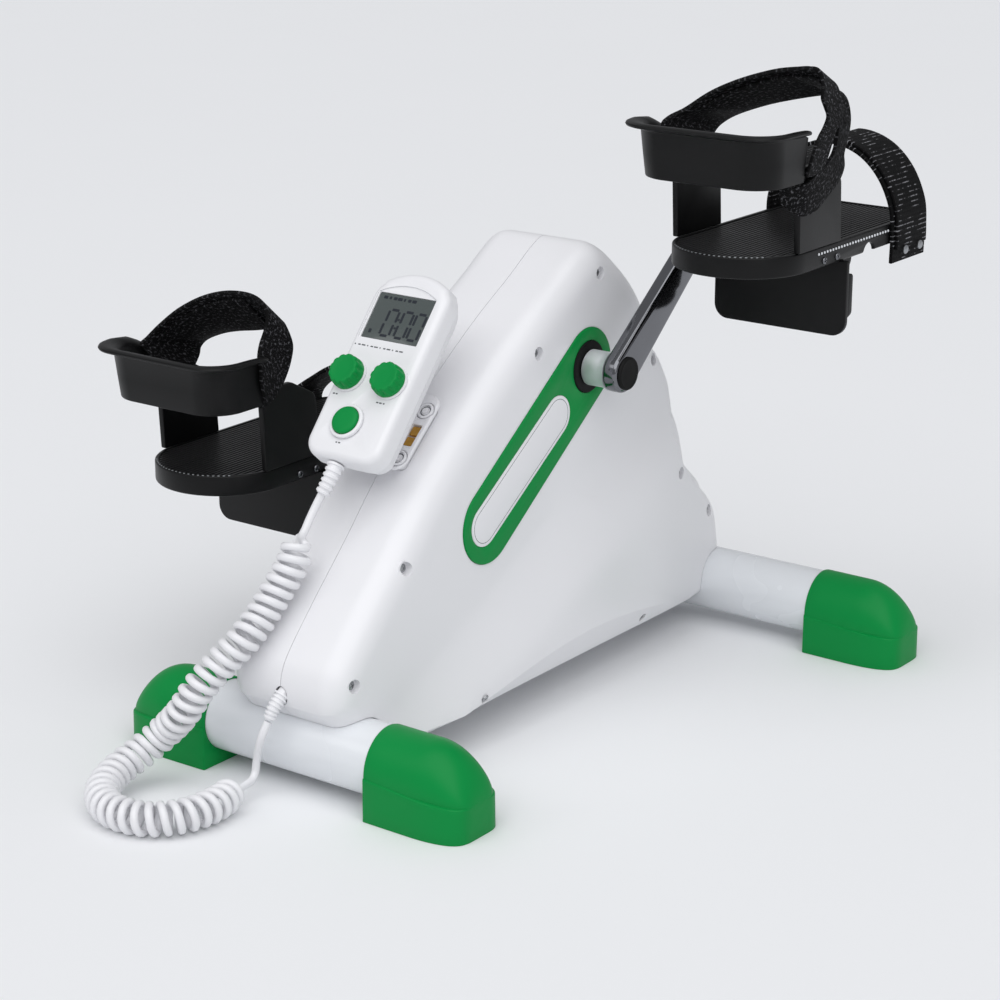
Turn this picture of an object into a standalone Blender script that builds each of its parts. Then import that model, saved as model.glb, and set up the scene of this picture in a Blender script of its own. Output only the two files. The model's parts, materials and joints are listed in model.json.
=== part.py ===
"""Electric pedal exerciser with a hand-held control unit on a curly cord.

The machine stands on the floor: a front and a rear steel tube in green foot caps, a white two-part
moulded housing over them, a crank through its top, a foot pedal with a heel cup on each crank arm,
and a handset docked on the front slope. Sizes are in millimetres and piece() turns them to metres.
X points to the machine's right, Y to its rear and Z up. The user sits at -Y.
"""
import math

import bmesh
import bpy
import numpy as np
from mathutils import Matrix, Vector

# Driving dimensions, millimetres
MM = 0.001
GAP = 0.3

TUBE_RADIUS = 25.0
TUBE_WALL = 2.0
TUBE_AXIS_HEIGHT = 32.9
AXLE_SPACING = 444.0
FRONT_CAP_FACE = 70.2
REAR_CAP_FACE = 145.8
CAP_LENGTH = 77.0
CAP_HALF_WIDTH = 28.0
CAP_SKIRT_HEIGHT = 30.4
CAP_SKIRT_DROP = 6.0
CAP_HEIGHT = 59.4
CAP_BORE_DEPTH = 38.0

HOUSING_HALF = 50.0
HOUSING_WALL = 3.0
HOUSING_BOTTOM = 27.0
UNDER_HALF = 54.0
FLANK_BULGE = 15.0
GRIP_DEPTH = 12.0
GRIP_CENTRE = (176.0, 165.0)
GRIP_RADII = (52.0, 24.0)
GRIP_LEAN = math.radians(119)
SLOPE_FILLET = 20.0
BOTTOM_FILLET = 5.0
CREASE_HEIGHT = 153.7
CREASE_SLOPE = 0.498
ARCH_RISE = 25.0
# Side view of the housing as (y, z), from under the nose over the top and down the back
HOUSING_SIDE_VIEW = (
    (-241, 58.5), (-246.5, 65), (-248, 76), (-246, 88), (-238, 101), (-211, 130), (-179, 162),
    (-146, 197), (-111, 229), (-76, 257), (-32, 287), (9.5, 311.4), (34, 327), (50, 333.5),
    (66, 328), (82, 316.5), (100, 301), (116, 282), (127, 260), (135, 243), (145, 232), (152, 220),
    (158, 206), (170, 189), (185, 163), (196.5, 136), (206, 117), (218, 106), (228, 93), (233, 77),
    (236, 57.5),
)
HOUSING_UNDERSIDE = (
    (225, 40), (205, 27), (137, 27), (69, 27), (0, 27), (-69, 27), (-137, 27), (-205, 27), (-225, 40),
)
HOUSING_CENTRE = (10.0, 158.7)
SCREW_HOLES = ((51, 312), (-24, 268), (-173, 150), (-230, 84), (125, 233), (150, 140), (209, 93))
SCREW_RADIUS = 4.2

HUB = (36.0, 246.5)
TRIM_LOW = (-84.0, 158.5)
TRIM_RADIUS = 28.5
TRIM_RECESS = 1.2
TRIM_FACE = 51.2
LABEL_HIGH = (-2.5, 218.0)
LABEL_LOW = (-89.0, 159.0)
LABEL_RADIUS = 15.0
LABEL_DEPTH = 0.8
HUB_SEAL_RADIUS = 19.0

CRANK_LENGTH = 129.0
CRANK_ANGLE = math.radians(39.0)
ARM_INNER = 72.0
ARM_OUTER = 84.0
ARM_HUB_RADIUS = 14.5
ARM_END_RADIUS = 11.0
AXLE_RADIUS = 8.0
AXLE_HALF = 66.0
SPINDLE_RADIUS = 5.0
SPINDLE_TIP = 199.0
GEAR_RADIUS = 52.0
GEAR_TEETH = 15
GEAR_SIDES = (-20.0, -8.0)
WORM_CENTRE = (-14.0, 184.0)
MOTOR_FACE = 71.0
MOTOR_RADIUS = 22.5

PEDAL_CENTRE = 155.0
PEDAL_HALF = 50.0
PEDAL_HEEL_Y = -63.0
PEDAL_TOE_Y = 113.0
PEDAL_TOE_CORNER = 16.0
PEDAL_RIM = 3.0
PEDAL_RIM_TOP = 16.0
PAD_RIBS = 13
PAD_HALF = 46.4
CUP_BOTTOM = 66.0
CUP_TOP = 104.0
CUP_CORNER = 40.0
CUP_END_Y = -62.0
GUARD_DEPTH = 54.0
STRAP_HALF = 1.2
INSTEP_DROP = 22.0
# Straps seen from behind as (x, z), from the inner fixing over the foot to the outer one
INSTEP_ROUTE = (
    (-53.2, 48), (-53.4, 68), (-53.3, 90), (-48, 106), (-32, 118), (-9, 128), (17, 136.5),
    (38, 140), (50.5, 134.5), (55, 117), (53.8, 96), (53.4, 70), (53.2, 46),
)
TOE_ROUTE = (
    (-51.8, -13), (-51.8, 8), (-50.5, 28), (-41, 51), (-24, 65), (0, 70), (22, 64), (39, 49),
    (49.5, 28), (51.8, 8), (51.8, -13),
)

HANDSET_PITCH = math.radians(49.8)
HANDSET_ORIGIN = (0.0, -120.3, 260.0)
HANDSET_HALF_WIDTH = 32.0
HANDSET_HALF_LENGTH = 72.0
HANDSET_CROWN = 12.0
HANDSET_CORNER = 9.0
HANDSET_FACE = 26.0
HANDSET_PARTING = 11.0
DISPLAY_HALF = (24.2, 17.8)
DISPLAY_CENTRE = (-2.0, 36.0)
KNOB_PLACES = ((-18.8, -11.5), (16.5, -11.5))
KNOB_RADIUS = 12.0
KNOB_FLUTES = 12
BUTTON_PLACE = (-4.0, -45.0)
BUTTON_RADIUS = 10.0
BUTTON_BORE = 10.4
COLLAR_RADIUS = 12.7
BUTTON_TRAVEL = 1.5
CRADLE_PITCH = math.radians(41.0)
CRADLE_ORIGIN = (0.0, -118.3, 221.8)
CRADLE_HALF = (28.0, 31.0)
CRADLE_THICKNESS = 10.0
CRADLE_SUNK = 1.0
CRADLE_CORNER = 12.0
CONTACT_WINDOW = (19.0, -3.0)
CONTACT_DEPTH = 4.0

CORD_RADIUS = 2.8
CURL_RADIUS = 9.3
CURL_COUNT = 46
CURL_POINTS = 8
# The cord's whole route, chosen by hand: handset relief, curly stretch, lead to the housing's nose
CORD_ROUTE = (
    (-10, -190.2, 195.9), (-12.1, -195, 187.2), (-13.2, -201, 178), (-13.8, -209, 165.8), (-15, -217.5, 151),
    (-19, -227.5, 136), (-23, -240, 120), (-27, -253, 107), (-37, -264, 92), (-48, -275.5, 74.5),
    (-59.5, -282.5, 56), (-80.5, -287.5, 39.5), (-96, -302.5, 27), (-101.5, -323, 19), (-95.5, -344.5, 14.5),
    (-80, -359.5, 12.5), (-59, -365, 12.5), (-38, -359.5, 12.5), (-23.5, -342, 13), (-20, -320, 13),
    (-23.5, -299, 12.5), (-24.5, -282, 12.7), (-24.6, -273, 12.9), (-23, -266, 16.5), (-19.5, -263.5, 24),
    (-14.5, -262.5, 32), (-9, -262.5, 40), (-4.8, -261, 48), (-3.1, -257.8, 55.5),
)
CURLS_FROM = 2
CURLS_TO = 21
HANDSET_RELIEF_ROUTE = ((-6, -72.5, 15.8), (-6.1, -78, 15.7), (-7.4, -86, 14.2), (-9.9, -93.6, 12.1))
NOSE_RELIEF_ROUTE = ((1.2, -241.4, 76.9), (0, -248.3, 70.5), (-1.4, -254, 64), (-3, -257.5, 56))
RELIEF_RADIUS = 6.4
RELIEF_STEM = 14.0
RIB_PITCH = 4.6


# Materials
def paint(name, colour, roughness, metallic=0.0):
    material = bpy.data.materials.new(name)
    material.use_nodes = True
    shader = material.node_tree.nodes["Principled BSDF"]
    shader.inputs["Base Color"].default_value = (*colour, 1.0)
    shader.inputs["Roughness"].default_value = roughness
    shader.inputs["Metallic"].default_value = metallic
    return material


def make_paints():
    return {
        "white": paint("white_plastic", (0.82, 0.84, 0.86), 0.35),
        "green": paint("green_plastic", (0.02, 0.36, 0.13), 0.35),
        "black": paint("black_plastic", (0.012, 0.012, 0.013), 0.5),
        "rubber": paint("black_rubber", (0.015, 0.015, 0.015), 0.8),
        "fabric": paint("black_webbing", (0.014, 0.014, 0.015), 0.9),
        "enamel": paint("white_enamel", (0.8, 0.82, 0.84), 0.3, 0.1),
        "chrome": paint("chrome_plate", (0.75, 0.76, 0.78), 0.12, 1.0),
        "steel": paint("zinc_steel", (0.45, 0.46, 0.48), 0.35, 1.0),
        "brass": paint("brass_strip", (0.55, 0.36, 0.12), 0.35, 1.0),
        "display": paint("display_panel", (0.16, 0.17, 0.17), 0.2),
    }


# Outlines, as lists of (a, b) points in millimetres
def arc(centre, radius, start, end, steps):
    """Points on a circle from one angle to another, in degrees, both ends included."""
    turns = [math.radians(start + (end - start) * i / steps) for i in range(steps + 1)]
    return [(centre[0] + radius * math.cos(turn), centre[1] + radius * math.sin(turn)) for turn in turns]


def circle(centre, radius, segments):
    return arc(centre, radius, 0, 360 - 360 / segments, segments - 1)


def rounded(corners, steps=3):
    """An outline whose corners, each (a, b, radius), are turned into arcs."""
    points = []
    for index, (a, b, radius) in enumerate(corners):
        here = Vector((a, b))
        back = (Vector(corners[index - 1][:2]) - here).normalized()
        ahead = (Vector(corners[(index + 1) % len(corners)][:2]) - here).normalized()
        half = back.angle(ahead) / 2
        centre = here + (back + ahead).normalized() * (radius / math.sin(half))
        first = here + back * (radius / math.tan(half)) - centre
        last = here + ahead * (radius / math.tan(half)) - centre
        for step in range(steps + 1):
            spot = first.lerp(last, step / steps).normalized() * radius + centre
            points.append((spot.x, spot.y))
    return points


def box_outline(centre, half_a, half_b, corner):
    a, b = centre
    ends = ((half_a, -half_b), (half_a, half_b), (-half_a, half_b), (-half_a, -half_b))
    return rounded([(a + across, b + along, corner) for across, along in ends])


def racetrack(low, high, radius, steps=9):
    """Two half circles joined by straight sides."""
    lean = math.degrees(math.atan2(high[1] - low[1], high[0] - low[0]))
    return arc(high, radius, lean - 90, lean + 90, steps) + arc(low, radius, lean + 90, lean + 270, steps)


def smooth_step(value):
    value = min(1.0, max(0.0, value))
    return value * value * (3 - 2 * value)


# Curves in space, as lists of Vectors
def curve_through(points, steps):
    """A smooth Catmull-Rom curve through points, with so many steps between each two."""
    spots = [Vector(point) for point in points]
    spots = [spots[0] * 2 - spots[1]] + spots + [spots[-1] * 2 - spots[-2]]
    curve = []
    for a, b, c, d in zip(spots, spots[1:], spots[2:], spots[3:]):
        for step in range(steps):
            t = step / steps
            curve.append((2 * b + (c - a) * t + (2 * a - 5 * b + 4 * c - d) * t ** 2
                          + (3 * b - a - 3 * c + d) * t ** 3) / 2)
    return curve + [spots[-2]]


def evenly(points, count):
    """So many points at equal spacing along a line, both ends included."""
    reach = [0.0]
    for a, b in zip(points, points[1:]):
        reach.append(reach[-1] + (b - a).length)
    result = []
    span = 0
    for index in range(count):
        target = reach[-1] * index / (count - 1)
        while span < len(points) - 2 and reach[span + 1] < target:
            span += 1
        share = (target - reach[span]) / (reach[span + 1] - reach[span])
        result.append(points[span].lerp(points[span + 1], share))
    return result


def length_of(points):
    return sum((b - a).length for a, b in zip(points, points[1:]))


def frames_along(points):
    """A (tangent, side, up) frame at each point, turned as little as possible from one to the next."""
    tangents = []
    for index in range(len(points)):
        after = points[min(index + 1, len(points) - 1)]
        before = points[max(index - 1, 0)]
        tangents.append((after - before).normalized())
    side = tangents[0].orthogonal().normalized()
    frames = []
    for tangent in tangents:
        side = (side - tangent * side.dot(tangent)).normalized()
        frames.append((tangent, side, tangent.cross(side)))
    return frames


# Mesh makers: each returns a bmesh in millimetres
def place(outline, level, axis):
    """An outline as points at a level on an axis: X takes (y, z), Y takes (x, z), Z takes (x, y)."""
    if axis == "X":
        return [(level, a, b) for a, b in outline]
    if axis == "Y":
        return [(a, level, b) for a, b in outline]
    return [(a, b, level) for a, b in outline]


def skin(body, loops, closed=False):
    """Quads between neighbouring loops of vertices, and from the last to the first if closed."""
    pairs = list(zip(loops, loops[1:]))
    if closed:
        pairs.append((loops[-1], loops[0]))
    for lower, upper in pairs:
        for index in range(len(lower)):
            after = (index + 1) % len(lower)
            body.faces.new((lower[index], lower[after], upper[after], upper[index]))


def loft(rings):
    """A closed body through rings of equal counts, with a flat face on the first and the last."""
    body = bmesh.new()
    loops = [[body.verts.new(point) for point in ring] for ring in rings]
    skin(body, loops)
    body.faces.new(reversed(loops[0]))
    body.faces.new(loops[-1])
    return body


def prism(outline, start, end, axis="Z"):
    return loft([place(outline, start, axis), place(outline, end, axis)])


def turned(profile, segments, axis="X", centre=(0, 0)):
    """A solid of revolution from (position, radius) pairs."""
    return loft([place(circle(centre, radius, segments), position, axis) for position, radius in profile])


def turned_ring(section, segments, axis="X", centre=(0, 0)):
    """A hollow body of revolution from a closed section of (position, radius) pairs."""
    body = bmesh.new()
    rings = [place(circle(centre, radius, segments), position, axis) for position, radius in section]
    skin(body, [[body.verts.new(point) for point in ring] for ring in rings], closed=True)
    return body


def swept(route, profile, segments):
    """A round body along a route, from (distance, radius) pairs."""
    fine = curve_through(route, 12)
    spine = evenly(fine, int(length_of(fine) * 5))
    frames = frames_along(spine)
    rings = []
    for distance, radius in profile:
        index = min(len(spine) - 1, round(distance * 5))
        _, side, up = frames[index]
        rings.append([spine[index] + side * a + up * b for a, b in circle((0, 0), radius, segments)])
    return loft(rings)


# Objects
def anchor(name, spot, turn_x=0.0, parent=None):
    empty = bpy.data.objects.new(name, None)
    bpy.context.collection.objects.link(empty)
    empty.location = Vector(spot) * MM
    empty.rotation_euler = (turn_x, 0, 0)
    empty.parent = parent
    return empty


def piece(name, body, material, parent=None, side=1):
    """A bmesh in millimetres becomes an object in metres. Side -1 mirrors it to the left."""
    bmesh.ops.scale(body, vec=(MM * side, MM, MM), verts=body.verts)
    bmesh.ops.recalc_face_normals(body, faces=body.faces)
    mesh = bpy.data.meshes.new(name)
    body.to_mesh(mesh)
    body.free()
    obj = bpy.data.objects.new(name, mesh)
    bpy.context.collection.objects.link(obj)
    obj.parent = parent
    if material is not None:
        mesh.materials.append(material)
    mesh.shade_smooth()
    mesh.set_sharp_from_angle(angle=math.radians(32))
    return obj


def tool(name, body, parent=None, side=1):
    """A helper shape for a Boolean, which isn't part of the machine."""
    obj = piece(name, body, None, parent, side)
    obj.hide_render = True
    obj.display_type = "WIRE"
    return obj


def combine(target, operation, helper):
    modifier = target.modifiers.new(helper.name, "BOOLEAN")
    modifier.operation = operation
    modifier.object = helper
    modifier.solver = "EXACT"


def soften(target, width, segments=2):
    modifier = target.modifiers.new("Rounded edges", "BEVEL")
    modifier.width = width * MM
    modifier.segments = segments
    modifier.limit_method = "ANGLE"
    modifier.angle_limit = math.radians(40)


# Base: two tubes in four foot caps
def build_tube(name, y, cap_face, material):
    end = cap_face + CAP_BORE_DEPTH - 1
    inner = TUBE_RADIUS - TUBE_WALL
    section = [(-end, TUBE_RADIUS), (end, TUBE_RADIUS), (end, inner), (-end, inner)]
    piece(name, turned_ring(section, 32, "X", (y, TUBE_AXIS_HEIGHT)), material)


def cap_section(y, half_width, reach, share):
    """A half-round crown, of which the cap keeps a share, over a skirt that sinks a little outwards."""
    skirt = CAP_SKIRT_HEIGHT - CAP_SKIRT_DROP * reach / CAP_LENGTH
    crown = (CAP_HEIGHT - skirt) * share
    top = [(y + half_width * math.cos(turn), skirt + crown * math.sin(turn))
           for turn in [math.radians(18 * step) for step in range(11)]]
    return [(y + half_width + 0.6, 0)] + top + [(y - half_width - 0.6, 0)]


def build_cap(name, y, cap_face, side, material):
    half = CAP_HALF_WIDTH - 0.6
    straight = CAP_LENGTH / 2
    sections = [(0.0, half - 1, 0.97), (1.5, half, 1), (straight, half, 1)]
    for lean in [math.radians(16.8 * step) for step in range(1, 6)]:
        reach = straight + (CAP_LENGTH - straight) * math.sin(lean) / math.sin(math.radians(84))
        sections.append((reach, half * math.cos(lean) ** 0.42, math.cos(lean) ** 1.3))
    rings = []
    for reach, width, share in sections:
        rings.append(place(cap_section(y, width, reach, share), cap_face + reach, "X"))
    cap = piece(name, loft(rings), material, side=side)
    bore = [(cap_face - 5, TUBE_RADIUS + GAP), (cap_face + CAP_BORE_DEPTH, TUBE_RADIUS + GAP)]
    combine(cap, "DIFFERENCE", tool(name + "_bore", turned(bore, 24, "X", (y, TUBE_AXIS_HEIGHT)), side=side))


def build_base(paints):
    half = AXLE_SPACING / 2
    for end, y, face in (("front", -half, FRONT_CAP_FACE), ("rear", half, REAR_CAP_FACE)):
        build_tube(end + "_tube", y, face, paints["enamel"])
        for side, label in ((1, "right"), (-1, "left")):
            build_cap("foot_cap_%s_%s" % (end, label), y, face, side, paints["green"])


# Housing: two moulded shells that meet on the machine's middle plane
def housing_outline():
    side_view = curve_through([(a, b, 0) for a, b in HOUSING_SIDE_VIEW], 4)
    over = [(point.x, point.y) for point in evenly(side_view, 49)]
    return np.array(over + list(HOUSING_UNDERSIDE), dtype=float)


def edge_distance(spot, outline):
    """Distance from a point inside to the outline's nearest edge."""
    run = np.roll(outline, -1, axis=0) - outline
    share = ((spot - outline) * run).sum(1) / (run * run).sum(1)
    nearest = outline + run * np.clip(share, 0, 1)[:, None]
    return float(np.sqrt(((nearest - spot) ** 2).sum(1)).min())


def point_at_depth(start, outline, depth):
    """The point on the way from an outline point to the centre that lies so deep inside."""
    centre = np.array(HOUSING_CENTRE)
    low, high = 0.0, 0.8
    for _ in range(22):
        middle = (low + high) / 2
        if edge_distance(start + (centre - start) * middle, outline) < depth:
            low = middle
        else:
            high = middle
    return start + (centre - start) * high


def flank(y, z):
    """Half-width of the side wall: flat above the crease, bulging below it, with a grip hollow."""
    below = (CREASE_HEIGHT + CREASE_SLOPE * y - z) * math.cos(math.atan(CREASE_SLOPE))
    fade = 1 - smooth_step((y - 110) / 105)
    along = (y - GRIP_CENTRE[0]) * math.cos(GRIP_LEAN) + (z - GRIP_CENTRE[1]) * math.sin(GRIP_LEAN)
    across = (y - GRIP_CENTRE[0]) * math.sin(GRIP_LEAN) - (z - GRIP_CENTRE[1]) * math.cos(GRIP_LEAN)
    grip = smooth_step(1.25 * (1 - math.hypot(along / GRIP_RADII[0], across / GRIP_RADII[1])))
    return HOUSING_HALF + FLANK_BULGE * smooth_step(below / 70) * fade - GRIP_DEPTH * grip


def arch_height(y):
    """Height of the flank's lower edge, an arch that runs down to both tubes."""
    return HOUSING_BOTTOM + max(5.5, ARCH_RISE * (1 - ((y - 30) / 175) ** 2))


def half_width(y, z):
    """The side wall's half-width, tucked under below the arch."""
    side = flank(y, z)
    rise = (z - HOUSING_BOTTOM) / (arch_height(y) - HOUSING_BOTTOM)
    return min(side, UNDER_HALF + (side - UNDER_HALF) * min(1.0, max(0.0, rise)))


def fillet_at(z):
    return BOTTOM_FILLET + (SLOPE_FILLET - BOTTOM_FILLET) * smooth_step((z - 30) / 32)


def shell_loops(body, outline, thickness, turns, shares):
    """Loops of vertices from the seam over the rounded edge towards the middle of the side wall."""
    centre = np.array(HOUSING_CENTRE)
    columns = []
    for start in outline:
        fillet = fillet_at(start[1])
        inner = fillet - thickness
        column = []
        for turn in turns:
            spot = point_at_depth(start, outline, thickness + inner * (1 - math.cos(turn)))
            column.append((half_width(*spot) - thickness - inner + inner * math.sin(turn), *spot))
        under = arch_height(start[0]) - HOUSING_BOTTOM
        blend = smooth_step((start[1] - 30) / 32)
        depth = max(under + (SLOPE_FILLET + 6 - under) * blend, fillet + 0.5) + thickness
        band = point_at_depth(start, outline, depth)
        for share in (0.0, *shares):
            spot = band + (centre - band) * share
            column.append((half_width(*spot) - thickness, *spot))
        columns.append([(GAP / 2, *column[0][1:])] + column)
    return [[body.verts.new(point) for point in ring] for ring in zip(*columns)]


def build_shell(name, outline, side, material):
    quarter = math.pi / 2
    body = bmesh.new()
    skins = ((0.0, (0, quarter / 3, quarter * 2 / 3, quarter), (0.4,)), (HOUSING_WALL, (0, quarter), (0.4,)))
    seams = []
    for thickness, turns, shares in skins:
        loops = shell_loops(body, outline, thickness, turns, shares)
        skin(body, loops)
        hub = body.verts.new((half_width(*HOUSING_CENTRE) - thickness, *HOUSING_CENTRE))
        last = loops[-1]
        for index in range(len(last)):
            body.faces.new((last[index], last[(index + 1) % len(last)], hub))
        seams.append(loops[0])
    skin(body, seams)
    return piece(name, body, material, side=side)


def surface_reach(y, z, outline):
    """How far out the housing's surface lies at a point of the side view."""
    fillet = fillet_at(z)
    depth = min(fillet, edge_distance(np.array((y, z), dtype=float), outline))
    return half_width(y, z) - fillet + math.sqrt(fillet ** 2 - (fillet - depth) ** 2)


def housing_openings(label, side, outline):
    """The tube saddles, trim recess, hub opening and screw recesses of one shell."""
    openings = []
    for end, y in (("front", -AXLE_SPACING / 2), ("rear", AXLE_SPACING / 2)):
        saddle = turned([(-5, TUBE_RADIUS + 0.5), (90, TUBE_RADIUS + 0.5)], 32, "X", (y, TUBE_AXIS_HEIGHT))
        openings.append(tool("saddle_%s_%s" % (end, label), saddle, side=side))
    recess = prism(racetrack(TRIM_LOW, HUB, TRIM_RADIUS + GAP), HOUSING_HALF - TRIM_RECESS, 62, "X")
    openings.append(tool("trim_recess_" + label, recess, side=side))
    hub = turned([(30, HUB_SEAL_RADIUS + GAP), (60, HUB_SEAL_RADIUS + GAP)], 24, "X", HUB)
    openings.append(tool("hub_opening_" + label, hub, side=side))
    for number, (y, z) in enumerate(SCREW_HOLES, 1):
        reach = surface_reach(y, z, outline)
        hole = turned([(reach - 2.2, SCREW_RADIUS), (reach + 12, SCREW_RADIUS)], 10, "X", (y, z))
        openings.append(tool("screw_recess_%s_%d" % (label, number), hole, side=side))
    return openings


def build_housing(paints):
    outline = housing_outline()
    seat = anchor("cradle_seat", CRADLE_ORIGIN, CRADLE_PITCH)
    seat_outline = box_outline((0, 0), CRADLE_HALF[0] + GAP, CRADLE_HALF[1] + GAP, CRADLE_CORNER)
    pocket = tool("cradle_pocket", prism(seat_outline, -CRADLE_SUNK - GAP, 20), seat)
    hole = [(distance, RELIEF_RADIUS - 0.9) for distance in range(0, 24, 3)]
    entry = tool("cord_entry", swept(NOSE_RELIEF_ROUTE, hole, 12))
    for side, label in ((1, "right"), (-1, "left")):
        shell = build_shell("housing_" + label, outline, side, paints["white"])
        for opening in housing_openings(label, side, outline) + [pocket, entry]:
            combine(shell, "DIFFERENCE", opening)


def build_side_trim(label, side, paints):
    base = HOUSING_HALF - TRIM_RECESS + GAP
    slab = prism(racetrack(TRIM_LOW, HUB, TRIM_RADIUS), base, TRIM_FACE, "X")
    trim = piece("side_trim_" + label, slab, paints["green"], side=side)
    hub = turned([(40, HUB_SEAL_RADIUS + GAP), (60, HUB_SEAL_RADIUS + GAP)], 24, "X", HUB)
    combine(trim, "DIFFERENCE", tool("trim_hub_hole_" + label, hub, side=side))
    floor = TRIM_FACE - LABEL_DEPTH
    recess = prism(racetrack(LABEL_LOW, LABEL_HIGH, LABEL_RADIUS + GAP), floor, 60, "X")
    combine(trim, "DIFFERENCE", tool("plate_recess_" + label, recess, side=side))
    plate = prism(racetrack(LABEL_LOW, LABEL_HIGH, LABEL_RADIUS), floor + GAP, TRIM_FACE + 0.3, "X")
    piece("side_plate_" + label, plate, paints["white"], side=side)
    bore = AXLE_RADIUS + 1
    face = TRIM_FACE + 1.2
    outer = HUB_SEAL_RADIUS
    section = [(46, bore), (46, outer), (face - 1, outer), (face, outer - 1.5), (face, bore)]
    piece("hub_seal_" + label, turned_ring(section, 24, "X", HUB), paints["rubber"], side=side)


# Drive inside the housing
def build_drive(paints):
    beam_half = AXLE_SPACING / 2 - TUBE_RADIUS - GAP
    beam = box_outline((0, 44.5), beam_half, 11.5, 2)
    piece("chassis_beam", prism(beam, -20, 20, "X"), paints["steel"])
    web = [(-40, 56.3), (105, 56.3), (52, HUB[1]), (20, HUB[1])]
    bracket = piece("drive_bracket", prism(web, 14, 20, "X"), paints["steel"])
    combine(bracket, "UNION", tool("bearing_tube", turned([(-4, 16), (44, 16)], 20, "X", HUB)))
    wall = prism([(-38, 160), (15, 160), (15, 200), (-38, 200)], 66, MOTOR_FACE, "Y")
    combine(bracket, "UNION", tool("motor_wall", wall))
    bore = turned([(-10, AXLE_RADIUS + GAP), (50, AXLE_RADIUS + GAP)], 20, "X", HUB)
    combine(bracket, "DIFFERENCE", tool("bearing_bore", bore))
    combine(bracket, "DIFFERENCE", tool("worm_shaft_hole", turned([(60, 5), (75, 5)], 16, "Y", WORM_CENTRE)))
    end = MOTOR_RADIUS - 3.5
    motor = [(MOTOR_FACE + GAP, end), (74, MOTOR_RADIUS), (128, MOTOR_RADIUS), (131, end)]
    piece("drive_motor", turned(motor, 14, "Y", WORM_CENTRE), paints["black"])
    axis = anchor("worm_axis", (WORM_CENTRE[0], HUB[0], WORM_CENTRE[1]))
    worm = [(-22, 6), (-20, 9.5), (22, 9.5), (24, 6), (24, 3.5), (35, 3.5)]
    piece("drive_worm", turned(worm, 12, "Y"), paints["steel"], axis)


# Crank: axle, drive gear, two arms and their pedal spindles
def arm_outline(side):
    """Two round eyes joined by tapering sides, with the pedal's eye forward or back of the axle."""
    lean = math.degrees(math.asin((ARM_HUB_RADIUS - ARM_END_RADIUS) / CRANK_LENGTH))
    outline = arc((CRANK_LENGTH, 0), ARM_END_RADIUS, lean - 90, 90 - lean, 8)
    outline += arc((0, 0), ARM_HUB_RADIUS, 90 - lean, 270 + lean, 10)
    return [(a * side, b) for a, b in outline]


def gear_outline(radius, depth, teeth):
    points = []
    for tooth in range(teeth):
        for share, reach in ((-0.33, -depth), (-0.17, 0), (0.17, 0), (0.33, -depth)):
            turn = (tooth + share) * 2 * math.pi / teeth
            points.append(((radius + reach) * math.cos(turn), (radius + reach) * math.sin(turn)))
    return points


def build_arm(label, side, hub, paints):
    bar = prism(arm_outline(side), ARM_INNER, ARM_OUTER, "X")
    arm = piece("crank_arm_" + label, bar, paints["chrome"], hub, side)
    soften(arm, 2.0)
    boss = turned([(TRIM_FACE + 1.7, ARM_HUB_RADIUS - 1.5), (ARM_INNER + 1, ARM_HUB_RADIUS - 1.5)], 24)
    combine(arm, "UNION", tool("crank_boss_" + label, boss, hub, side))
    bore = turned([(50, AXLE_RADIUS + GAP), (AXLE_HALF + GAP, AXLE_RADIUS + GAP)], 20)
    combine(arm, "DIFFERENCE", tool("crank_bore_" + label, bore, hub, side))
    cap = turned([(ARM_OUTER + GAP, 12), (ARM_OUTER + 1.5, 12), (ARM_OUTER + 2.6, 10)], 24)
    piece("crank_cap_" + label, cap, paints["black"], hub, side)
    start = ARM_OUTER + GAP
    nut = start + 4.7
    spindle = [(start, 8.5), (nut, 8.5), (nut, SPINDLE_RADIUS), (SPINDLE_TIP, SPINDLE_RADIUS)]
    rod = turned(spindle, 20, "X", (CRANK_LENGTH * side, 0))
    piece("pedal_spindle_" + label, rod, paints["steel"], hub, side)


def build_crank(paints):
    hub = anchor("crank_axis", (0, *HUB), CRANK_ANGLE)
    axle = turned([(-AXLE_HALF, AXLE_RADIUS), (AXLE_HALF, AXLE_RADIUS)], 20)
    piece("crank_axle", axle, paints["steel"], hub)
    wheel = prism(gear_outline(GEAR_RADIUS, 3.5, GEAR_TEETH), *GEAR_SIDES, "X")
    gear = piece("drive_gear", wheel, paints["brass"], hub)
    bore = turned([(-25, AXLE_RADIUS + GAP), (0, AXLE_RADIUS + GAP)], 20)
    combine(gear, "DIFFERENCE", tool("gear_bore", bore, hub))
    for side, label in ((1, "right"), (-1, "left")):
        build_arm(label, side, hub, paints)


# Pedals
def footplate_outline(inward):
    """The plate from above: a half-round heel and a toe edge with rounded corners."""
    half = PEDAL_HALF - inward
    toe = PEDAL_TOE_Y - inward
    corner = PEDAL_TOE_CORNER - inward
    heel = arc((0, PEDAL_HEEL_Y), half, 180, 360, 14)
    right = arc((half - corner, toe - corner), corner, 0, 90, 4)
    left = arc((corner - half, toe - corner), corner, 90, 180, 4)
    return heel + right + left


def build_footplate(label, side, axis, paints):
    top = PEDAL_RIM_TOP
    under = ((PEDAL_RIM, 9.5), (PEDAL_RIM, 1.0), (0, 1.0))
    levels = (*under, (0, top - 1), (1, top), (PEDAL_RIM, top), (PEDAL_RIM, 12))
    rings = [place(footplate_outline(inward), z, "Z") for inward, z in levels]
    plate = piece("footplate_" + label, loft(rings), paints["black"], axis, side)
    notch = turned([(-60, 7.5), (-40, 7.5)], 16)
    combine(plate, "DIFFERENCE", tool("spindle_notch_" + label, notch, axis, side))


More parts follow.
